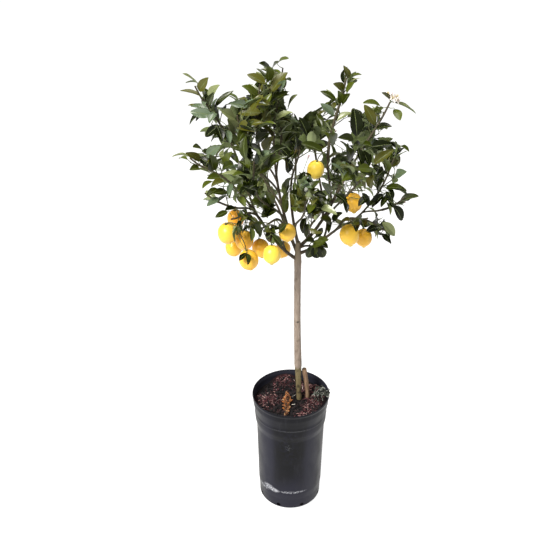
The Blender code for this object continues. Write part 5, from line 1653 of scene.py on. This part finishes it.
# How far out from the pot's axis the chips lie, and the fibres and specks
CHIPS_EDGE, FIBRES_EDGE = 0.090, 0.086
CHIPS, FIBRES, SPECKS = 1250, 760, 260
CHIP_DARK, CHIP_BROWN, CHIP_RED, CHIP_TAN, CHIP_PALE = range(5)
CHIPS_DEALT = (CHIP_DARK,) * 6 + (CHIP_BROWN,)
RED_CHIPS_DEALT = (CHIP_RED, CHIP_RED, CHIP_BROWN, CHIP_DARK, CHIP_TAN)
FIBRES_DEALT = (CHIP_RED, CHIP_RED, CHIP_RED, CHIP_BROWN, CHIP_TAN)
# Where the reddish bark lies thick: place and spread
RED_HEAPS = (
    (-0.014, 0.084, 0.021), (-0.070, 0.004, 0.021), (0.066, 0.028, 0.021), (0.056, 0.046, 0.015),
    (0.064, -0.014, 0.014), (0.048, -0.056, 0.012), (0.026, -0.068, 0.007),
)
# The colour of the dead leaf's core, and how often each is dealt to its scraps, the last for its front
DRY_DARK = 3
DRY_DEALT, DRY_FRONT_DEALT = (6, 2, 3, 2), (3, 4, 4, 3)
DRY_FRONT = -0.045


def ground_height(x, y):
    """The soil's surface with its crumbs, a little below the heaps where it meets the wall."""
    p = Vector((x, y, 0.0))
    crumbs = 0.0016 * noise.noise(p * 95.0) + 0.0010 * noise.noise(p * 260.0)
    heaped = sum(height * mound(x, y, *heap) for height, *heap in LITTER_HEAPS)
    return soil_height(x, y) + crumbs + heaped - 0.0004


def ring(radius, z):
    """Places round the pot's axis."""
    turns = [FULL_TURN * k / GROUND_SIDES for k in range(GROUND_SIDES)]
    return [Vector((radius * math.cos(turn), radius * math.sin(turn), z)) for turn in turns]


def build_soil(look):
    """The plug of soil, its top a fine net of crumbs."""
    floor = POT_FLOOR + SOIL_GAP
    points = []
    for z in (floor + 0.004, 0.100, 0.200, 0.2590, 0.3020, SOIL_RIM):
        points += ring(pot_radius_inside(z) - SOIL_GAP, z)
    rim = pot_radius_inside(SOIL_RIM) - SOIL_GAP
    for i in range(GROUND_RINGS):
        for p in ring(rim * (1.0 - i / GROUND_RINGS), 0.0):
            points.append(Vector((p.x, p.y, ground_height(p.x, p.y))))
    rings = len(points) // GROUND_SIDES
    points += [Vector((0.0, 0.0, floor)), Vector((0.0, 0.0, ground_height(0.0, 0.0)))]
    pile = Pile()
    pile.add(points, capped_faces(rings, GROUND_SIDES), 0)
    return pile.build("soil_crumbs", [look], 180.0)


def redness(x, y):
    return min(1.0, sum(mound(x, y, *heap) for heap in RED_HEAPS))


def clear_spot(chance, edge):
    """A place on the soil that no stem stands on."""
    while True:
        radius, turn = edge * math.sqrt(chance.random()), chance.uniform(0.0, FULL_TURN)
        x, y = radius * math.cos(turn), radius * math.sin(turn)
        off_stub = math.hypot(x - STUB_FOOT.x, y - STUB_FOOT.y)
        if math.hypot(x - TRUNK_FOOT.x, y) > TRUNK_CLEAR and off_stub > STUB_CLEAR:
            return x, y


def red_spots(chance, count, least, more):
    """Places for this many things, most of them left out where the soil isn't reddish."""
    for _ in range(count):
        x, y = clear_spot(chance, FIBRES_EDGE)
        if chance.random() <= least + more * redness(x, y):
            yield x, y


def chip(pile, place, ahead, lean, size, chance, slot):
    """A split piece of bark: a bent, tapered slab with torn ends."""
    side = ahead.cross(lean).normalized()
    up = side.cross(ahead)
    long, wide, thick = size
    points = []
    for i, taper in enumerate((0.55, 1.0, 0.8)):
        for u, v in ((-1, -1), (1, -1), (1, 1), (-1, 1)):
            tear = ahead * (chance.uniform(-0.16, 0.16) * long)
            bow = up * (0.18 * long * (1.0 - (i - 1) ** 2))
            points.append(
                place + ahead * ((i - 1) * long / 2.0) + side * (u * wide * taper / 2.0)
                + up * (v * thick * taper / 2.0) + bow + tear * (i != 1)
            )
    faces = grid_faces(3, 4, True) + [(0, 2, 1), (0, 3, 2), (8, 9, 10), (8, 10, 11)]
    pile.add(points, faces, slot)


def build_litter(looks):
    """Bark chips, fibres and pale specks, reddest on the heaps."""
    chance = random.Random(LITTER_SEED)
    pile = Pile()
    for _ in range(CHIPS):
        x, y = clear_spot(chance, CHIPS_EDGE)
        red = chance.random() < 0.9 * redness(x, y)
        slot = chance.choice(RED_CHIPS_DEALT if red else CHIPS_DEALT)
        long = chance.uniform(0.003, 0.010)
        size = (long, long * chance.uniform(0.22, 0.5), long * chance.uniform(0.10, 0.22))
        turn = chance.uniform(0.0, math.pi)
        ahead = Vector((math.cos(turn), math.sin(turn), chance.uniform(-0.35, 0.35))).normalized()
        lean = Vector((chance.uniform(-0.6, 0.6), chance.uniform(-0.6, 0.6), 1.0)).normalized()
        place = Vector((x, y, ground_height(x, y) + chance.uniform(0.0, 0.0020)))
        chip(pile, place, ahead, lean, size, chance, slot)
    for x, y in red_spots(chance, FIBRES, 0.05, 1.0):
        turn, long = chance.uniform(0.0, FULL_TURN), chance.uniform(0.006, 0.016)
        ahead = Vector((math.cos(turn), math.sin(turn), 0.0))
        side = Vector((-ahead.y, ahead.x, 0.0)) * (chance.uniform(-0.3, 0.3) * long)
        line = []
        for t, bow in ((0.0, 0.0), (0.33, 0.8), (0.66, 1.0), (1.0, 0.3)):
            p = Vector((x, y, 0.0)) + ahead * (long * (t - 0.5)) + side * bow
            line.append(p + UP * (ground_height(p.x, p.y) + 0.0012 + 0.0022 * bow * chance.random()))
        pile.rod(line, [0.00035, 0.0004, 0.00035, 0.0002], 4, chance.choice(FIBRES_DEALT))
    ahead = Vector((1.0, 0.2, 0.1)).normalized()
    for x, y in red_spots(chance, SPECKS, 0.06, 0.7):
        size = chance.uniform(0.0008, 0.0018)
        place = Vector((x, y, ground_height(x, y) + 0.0012))
        chip(pile, place, ahead, UP, (size, size * 0.8, size * 0.6), chance, CHIP_PALE)
    return pile.build("litter", looks, 30.0)


def build_slivers(looks):
    """Pale slivers of wood that stick out of the soil round the trunk."""
    pile = Pile()
    for foot, tip, radius in SLIVERS:
        foot = Vector((*foot, ground_height(*foot) + radius))
        end = foot + Vector(tip)
        pile.rod([foot, foot.lerp(end, 0.5), end], [radius, radius, radius * 0.6], 5, 0)
    return pile.build("slivers", looks)


def build_dry_leaf(looks):
    """A dead leaf crumpled into a knobby twist of curled scraps, its stalk behind, lying on the soil."""
    chance = random.Random(DRY_SEED)
    pile = Pile()
    flat = [Vector((x, y, 0.0)) for x, y, _ in DRY_TWIST]
    line, halves = finer(flat, [half for _, _, half in DRY_TWIST], 0.0020)
    line = [p + UP * (ground_height(p.x, p.y) + 0.30 * half + 0.001) for p, half in zip(line, halves)]
    pile.rod(line, [max(0.0008, 0.45 * half) for half in halves], 6, DRY_DARK)
    for place, half in zip(line[2:], halves[2:]):
        if half < 0.0018:
            continue
        for _ in range(3):
            turn = chance.uniform(-1.7, 1.7)
            out = (Vector((math.sin(turn), 0.0, math.cos(turn))) + UP * 0.15).normalized()
            way = (out + Vector((0.0, chance.uniform(-1.0, 0.5), 0.0))).normalized()
            cup = (Vector((-out.z, 0.0, out.x)) * chance.choice((-1.0, 1.0)) + out * 0.3).normalized()
            slot = pick(chance, DRY_DEALT if place.y > DRY_FRONT else DRY_FRONT_DEALT)
            length = half * chance.uniform(0.65, 0.95)
            petal(pile, place, cup, way, length, chance.uniform(0.005, 0.009), slot)
    return pile.build("dry_leaf_curl", looks, 60.0)


def moss_strand(pile, middle, least, chance):
    """A strand curled round a place, kept off the wall below the rim."""
    first, second = across(Vector([chance.gauss(0.0, 1.0) for _ in range(3)]).normalized())
    radius, start = chance.uniform(0.003, 0.0075), chance.uniform(*ANY_TURN)
    sweep = chance.uniform(1.4, 3.4)
    line = []
    for k in range(7):
        p = middle + spoke(first, second, start + sweep * k / 6) * (radius * (1.0 - 0.06 * k))
        p.z = max(p.z, least)
        most = MOSS_CLEAR + STRAND_SLACK if p.z < POT_HEIGHT + 0.0010 else MOSS_OVERHANG
        inward = min(1.0, most / math.hypot(p.x, p.y))
        line.append(Vector((p.x * inward, p.y * inward, p.z)))
    thick = chance.uniform(0.0007, 0.0013)
    pile.rod(line, [thick] * 6 + [0.5 * thick], 5, chance.choice((0, 0, 1, 1, 1, 2)))


def build_moss(looks):
    """A cushion of moss against the rim, under a tangle of pale curled strands that spills over it."""
    chance = random.Random(MOSS_SEED)
    pile = Pile()
    for strands, centre, half, least in MOSS_TANGLES:
        for _ in range(strands):
            out = Vector([chance.gauss(0.0, 1.0) for _ in range(3)]).normalized() * chance.random() ** 0.5
            middle = Vector(c + h * o for c, h, o in zip(centre, half, (out.x, out.y, abs(out.z))))
            moss_strand(pile, middle, least, chance)
    core = bmesh.new()
    bmesh.ops.create_icosphere(core, subdivisions=3, radius=1.0)
    for vertex in core.verts:
        p = vertex.co.copy()
        lump = 0.86 + 0.22 * noise.noise(p * 2.6)
        vertex.co = Vector([c * size * lump for c, size in zip(p, MOSS_SIZE)])
        vertex.co += Vector((*MOSS_CENTRE, 0.0))
        inward = min(1.0, (MOSS_CLEAR - CUSHION_INSET) / math.hypot(vertex.co.x, vertex.co.y))
        vertex.co.x *= inward
        vertex.co.y *= inward
        vertex.co.z += SOIL_LEVEL + MOSS_RISE - CUSHION_DROP
    pile.add([v.co for v in core.verts], [[v.index for v in f.verts] for f in core.faces], 0)
    core.free()
    return pile.build("moss_lobes", looks, 60.0)


# Materials


class Look:
    """A material's Principled shader, and the nodes that feed it."""

    def __init__(self, name, color, roughness, specular):
        self.material = bpy.data.materials.new(name)
        self.material.use_nodes = True
        self.nodes = self.material.node_tree.nodes
        self.links = self.material.node_tree.links
        self.shader = self.nodes["Principled BSDF"]
        self.shader.inputs["Base Color"].default_value = (*color, 1.0)
        self.shader.inputs["Roughness"].default_value = roughness
        self.shader.inputs["Specular IOR Level"].default_value = specular

    def node(self, kind, inputs):
        """A new node. Each of its inputs gets a plain value, or a link from another node's output."""
        node = self.nodes.new("ShaderNode" + kind)
        for name, value in inputs.items():
            if isinstance(value, bpy.types.NodeSocket):
                self.links.new(value, node.inputs[name])
            else:
                node.inputs[name].default_value = value
        return node

    def vector(self, operation, first, second=(0.0, 0.0, 0.0)):
        node = self.node("VectorMath", {0: first, 1: second})
        node.operation = operation
        return node.outputs["Value" if operation == "LENGTH" else "Vector"]

    def place(self):
        """Places on the object, in metres."""
        return self.node("TexCoord", {}).outputs["Object"]

    def noise(self, scale, detail, stretch=(1.0, 1.0, 1.0), rough=0.55):
        at = self.vector("MULTIPLY", self.place(), stretch)
        inputs = {"Vector": at, "Scale": scale, "Detail": detail, "Roughness": rough}
        return self.node("TexNoise", inputs).outputs["Fac"]

    def ramp(self, value, low, high, out_low=0.0, out_high=1.0):
        """A value's range from low to high made another range, and held at its ends."""
        inputs = {"Value": value, "From Min": low, "From Max": high, "To Min": out_low, "To Max": out_high}
        node = self.node("MapRange", inputs)
        node.interpolation_type = "SMOOTHSTEP"
        return node.outputs["Result"]

    def height_share(self, low, high):
        """0 below one height and 1 above another."""
        return self.ramp(self.node("SeparateXYZ", {0: self.place()}).outputs["Z"], low, high)

    def near(self, centre, sizes):
        """1 at a place and 0 outside the egg round it with these half sizes."""
        away = self.vector("SUBTRACT", self.place(), centre)
        return self.ramp(self.vector("LENGTH", self.vector("DIVIDE", away, sizes)), 0.35, 1.0, 1.0, 0.0)

    def times(self, first, second):
        node = self.node("Math", {0: first, 1: second})
        node.operation = "MULTIPLY"
        node.use_clamp = True
        return node.outputs[0]

    def color_toward(self, share, color):
        """Mixes a colour over what the base colour is so far."""
        base = self.shader.inputs["Base Color"]
        node = self.nodes.new("ShaderNodeMix")
        node.data_type = "RGBA"
        if base.is_linked:
            self.links.new(base.links[0].from_socket, node.inputs[6])
        else:
            node.inputs[6].default_value = base.default_value
        node.inputs[7].default_value = (*color, 1.0)
        self.links.new(share, node.inputs[0])
        self.links.new(node.outputs[2], base)

    def bump(self, height, strength, depth):
        """Adds a height to the relief."""
        node = self.node("Bump", {"Strength": strength, "Distance": depth, "Height": height})
        normal = self.shader.inputs["Normal"]
        if normal.is_linked:
            self.links.new(normal.links[0].from_socket, node.inputs["Normal"])
        self.links.new(node.outputs[0], normal)


# Reliefs of plain materials: scale, detail, strength, depth
WAXY = (230.0, 3.0, 0.25, 0.0006)
FINE_GRAIN = (380.0, 4.0, 0.35, 0.0006)
TWIG_GRAIN = (420.0, 4.0, 0.4, 0.0006)
PORES = ((520.0, 2.0, 0.30, 0.0010), (90.0, 2.0, 0.25, 0.0020))
MOULDED = (420.0, 4.0, 0.2, 0.0005)


def relief_look(name, color, roughness, specular, *reliefs):
    """A material of one colour with these reliefs."""
    look = Look(name, color, roughness, specular)
    for scale, detail, strength, depth in reliefs:
        look.bump(look.noise(scale, detail), strength, depth)
    return look.material


def relief_looks(name, colors, roughness, specular, *reliefs):
    """Such a material for each colour."""
    values = (roughness, specular, *reliefs)
    return [relief_look(f"{name}_{i}", color, *values) for i, color in enumerate(colors)]


def foliage_looks():
    """The leaf's looks in the order of its slots: upper sides, under sides, rib, petiole."""
    tops = [relief_look(f"leaf_top_{i}", *values, WAXY) for i, values in enumerate(LEAF_TOPS)]
    unders = relief_looks("leaf_under", LEAF_UNDERS, 0.6, 0.2, WAXY)
    rib = relief_look("leaf_rib", LEAF_RIB, 0.5, 0.4, WAXY)
    return [*tops, *unders, rib, relief_look("petiole", PETIOLE_GREEN, 0.5, 0.4, WAXY)]


def bark_look():
    """Pinkish grey-brown above the graft and olive below, streaked, with darker scars."""
    look = Look("bark", BARK_GREY, 0.78, 0.3)
    streaks = look.noise(260.0, 6.0, (1.0, 1.0, 0.16))
    look.color_toward(look.ramp(streaks, 0.42, 0.70), BARK_PALE)
    look.color_toward(look.ramp(look.noise(70.0, 5.0, (1.0, 1.0, 0.5)), 0.55, 0.72), BARK_BROWN)
    below = look.height_share(GRAFT_HEIGHT + 0.014, GRAFT_HEIGHT + 0.004)
    look.color_toward(below, BARK_OLIVE)
    marks = look.ramp(look.noise(110.0, 5.0, (1.0, 1.0, 0.6)), 0.50, 0.66)
    look.color_toward(look.times(marks, below), BARK_OLIVE_DARK)
    look.color_toward(look.height_share(0.735, 0.80), BARK_FORK)
    look.color_toward(look.near(SCAR, (0.006, 0.012, 0.0035)), BARK_SCAR)
    look.bump(streaks, 0.5, 0.0012)
    look.bump(look.noise(600.0, 5.0, (1.0, 1.0, 0.4)), 0.4, 0.0006)
    return look.material


def bough_looks():
    """The looks of older boughs and of younger ones."""
    looks = []
    for i, (color, light) in enumerate(BOUGH_COLORS):
        look = Look(f"bough_{i}", color, 0.74, 0.3)
        look.color_toward(look.ramp(look.noise(150.0, 5.0), 0.45, 0.70), light)
        look.bump(look.noise(420.0, 5.0), 0.45, 0.0008)
        looks.append(look.material)
    return looks


def stub_looks():
    """The looks of the stub's bark and of its cut."""
    bark = Look("stub_bark", STUB_BROWN, 0.8, 0.25)
    streaks = bark.noise(240.0, 6.0, (1.0, 1.0, 0.15))
    bark.color_toward(bark.ramp(streaks, 0.45, 0.68), STUB_ORANGE)
    bark.color_toward(bark.ramp(bark.noise(90.0, 4.0), 0.58, 0.72), STUB_DARK)
    bark.bump(streaks, 0.5, 0.0012)
    cut = Look("stub_cut", CUT_BROWN, 0.85, 0.2)
    cut.color_toward(cut.ramp(cut.noise(700.0, 4.0), 0.45, 0.62), STUB_DARK)
    cut.bump(cut.noise(500.0, 4.0), 0.5, 0.0010)
    return [bark.material, cut.material]


def pot_looks():
    """Dark blue-black moulded plastic, dusty in patches, with painted sheen in lighter bands at its sides,
    scuffed white near its foot, with a thin painted highlight on its ring, and a lighter inner side of
    painted light.
    """
    look = Look("pot_plastic", POT_BLACK, 0.38, 0.15)
    dust = look.noise(26.0, 6.0, (1.0, 1.0, 0.6))
    look.color_toward(look.ramp(dust, 0.40, 0.72), POT_DUST)
    # Lighter bluish bands: painted sheen at the pot's sides, and one low on its front
    for band in SHEEN_BANDS:
        look.color_toward(look.times(look.near(*band), 0.9), POT_SHEEN_BAND)
    smears = look.noise(60.0, 5.0, (1.0, 1.0, 0.18), 0.65)
    look.color_toward(look.times(look.ramp(smears, 0.54, 0.70), 0.35), POT_SMEAR)
    mottled = look.times(look.ramp(look.noise(95.0, 6.0), 0.40, 0.58), look.near(*MOTTLED))
    look.color_toward(look.times(mottled, 0.95), POT_DEEP)
    # White scuffs, and the thin painted highlight along the collar's ring
    for centre, sizes, share, white in SCUFFS_AND_RING_HIGHLIGHT:
        torn = look.ramp(look.noise(230.0, 6.0, (1.0, 1.0, 1.6), 0.72), *share)
        look.color_toward(look.times(look.times(torn, look.near(centre, sizes)), white), POT_SCUFF_AND_HIGHLIGHT)
    look.links.new(look.ramp(dust, 0.35, 0.75, 0.34, 0.50), look.shader.inputs["Roughness"])
    look.bump(look.noise(520.0, 4.0), 0.18, 0.0005)
    look.bump(look.noise(11.0, 2.0), 0.5, 0.004)
    return [look.material, relief_look("pot_inner_painted_light", POT_INNER_PAINTED_LIGHT, 0.55, 0.18, MOULDED)]


def soil_look():
    """Almost black peat with red-brown fibre where it is heaped."""
    look = Look("soil_peat", SOIL_BLACK, 0.95, 0.15)
    look.color_toward(look.ramp(look.noise(160.0, 6.0), 0.46, 0.66), SOIL_BROWN)
    for x, y, spread in RED_HEAPS:
        red = look.near((x, y, SOIL_LEVEL), (2.2 * spread, 2.2 * spread, 0.08))
        look.color_toward(look.times(look.ramp(look.noise(240.0, 5.0), 0.40, 0.60), red), SOIL_RED)
    look.bump(look.noise(350.0, 6.0), 0.9, 0.0025)
    return look.material


def floor_look():
    look = Look("floor", (0.32, 0.32, 0.32), 0.9, 0.0)
    look.shader.inputs["Emission Color"].default_value = (1.0, 1.0, 1.0, 1.0)
    look.shader.inputs["Emission Strength"].default_value = FLOOR_GLOW
    look.bump(look.noise(30.0, 2.0), 0.02, 0.0005)
    return look.material


# Studio


def area_light(name, place, aim, size, power, color):
    data = bpy.data.lights.new(name, "AREA")
    data.shape = "DISK"
    data.size = size
    data.energy = power
    data.color = color
    light = link(name, data)
    light.location = place
    light.rotation_euler = (Vector(aim) - Vector(place)).to_track_quat("-Z", "Y").to_euler()


def build_studio():
    """A white room, brightest at its horizon, with a floor, two lights and the photo's camera."""
    scene = bpy.context.scene
    world = bpy.data.worlds.new("studio")
    world.use_nodes = True
    nodes, links = world.node_tree.nodes, world.node_tree.links
    background = nodes["Background"]
    background.inputs["Color"].default_value = (1.0, 1.0, 1.0, 1.0)
    parts, fade = nodes.new("ShaderNodeSeparateXYZ"), nodes.new("ShaderNodeMapRange")
    links.new(nodes.new("ShaderNodeTexCoord").outputs["Generated"], parts.inputs[0])
    fade.inputs["From Max"].default_value = 0.6
    fade.inputs["To Min"].default_value = HORIZON_STRENGTH
    fade.inputs["To Max"].default_value = ZENITH_STRENGTH
    links.new(parts.outputs["Z"], fade.inputs["Value"])
    links.new(fade.outputs["Result"], background.inputs["Strength"])
    scene.world = world
    scene.view_settings.view_transform = "Standard"
    for light in LIGHTS:
        area_light(*light)
    profile = [(0.0, 0.0), (FLOOR_RADIUS, 0.0), (FLOOR_RADIUS, -0.02), (0.0, -0.02)]
    floor = object_of("floor", turned(profile, 64), [floor_look()])
    camera = link("camera", bpy.data.cameras.new("camera"))
    camera.data.sensor_width = 36.0
    camera.data.lens = CAMERA_LENS
    camera.data.clip_end = 200.0
    camera.location = EYE
    camera.rotation_euler = (math.radians(90.0 - CAMERA_DIP), 0.0, 0.0)
    scene.camera = camera


def stand_for(piece, slot, *nodes):
    """The piece rides on the plant and stands for these nodes. The slot is not used."""
    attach(piece, "root")
    if nodes:
        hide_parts(*nodes)


def main():
    build_studio()
    lines = bough_lines()
    crown = Crown(lines)
    crown.grow()
    place_leaves(crown)
    for mass in crown.masses:
        grow_fine(mass)
    leaf_looks = foliage_looks()
    twig_looks = relief_looks("twig", TWIG_COLORS, 0.68, 0.35, TWIG_GRAIN)
    chance = random.Random(LEAF_SEED)
    for mass in crown.masses:
        stand_for(build_leaves(mass, leaf_looks, chance), "foliage", "foliage_" + mass.name)
        stand_for(build_twigs(mass, twig_looks), "bark")
    stand_for(build_lemons(crown.masses, relief_looks("peel", PEEL_COLORS, 0.36, 0.5, *PORES)), "foliage")
    blossom_looks = relief_looks("blossom", BLOSSOM_COLORS, 0.55, 0.4, FINE_GRAIN)
    stand_for(build_blossom(crown, blossom_looks), "foliage")
    stand_for(build_trunk(lines, bark_look()), "bark", "trunk")
    stand_for(build_boughs(lines, bough_looks()), "bark", *["bough_" + bough.name for bough in BOUGHS])
    stand_for(build_stub(stub_looks()), "stub_bark", "stub")
    stand_for(build_pot(pot_looks()), "pot_plastic", "pot")
    stand_for(build_soil(soil_look()), "soil", "soil")
    stand_for(build_litter(relief_looks("litter", LITTER_COLORS, 0.85, 0.4, FINE_GRAIN)), "soil")
    stand_for(build_slivers(relief_looks("sliver", [SLIVER_WOOD], 0.7, 0.4, FINE_GRAIN)), "soil")
    dry_looks = relief_looks("dry_leaf", DRY_COLORS, 0.6, 0.4, FINE_GRAIN)
    stand_for(build_dry_leaf(dry_looks), "dry_leaf", "dry_leaf")
    stand_for(build_moss(relief_looks("moss", MOSS_COLORS, 0.85, 0.4, FINE_GRAIN)), "moss", "moss")


main()
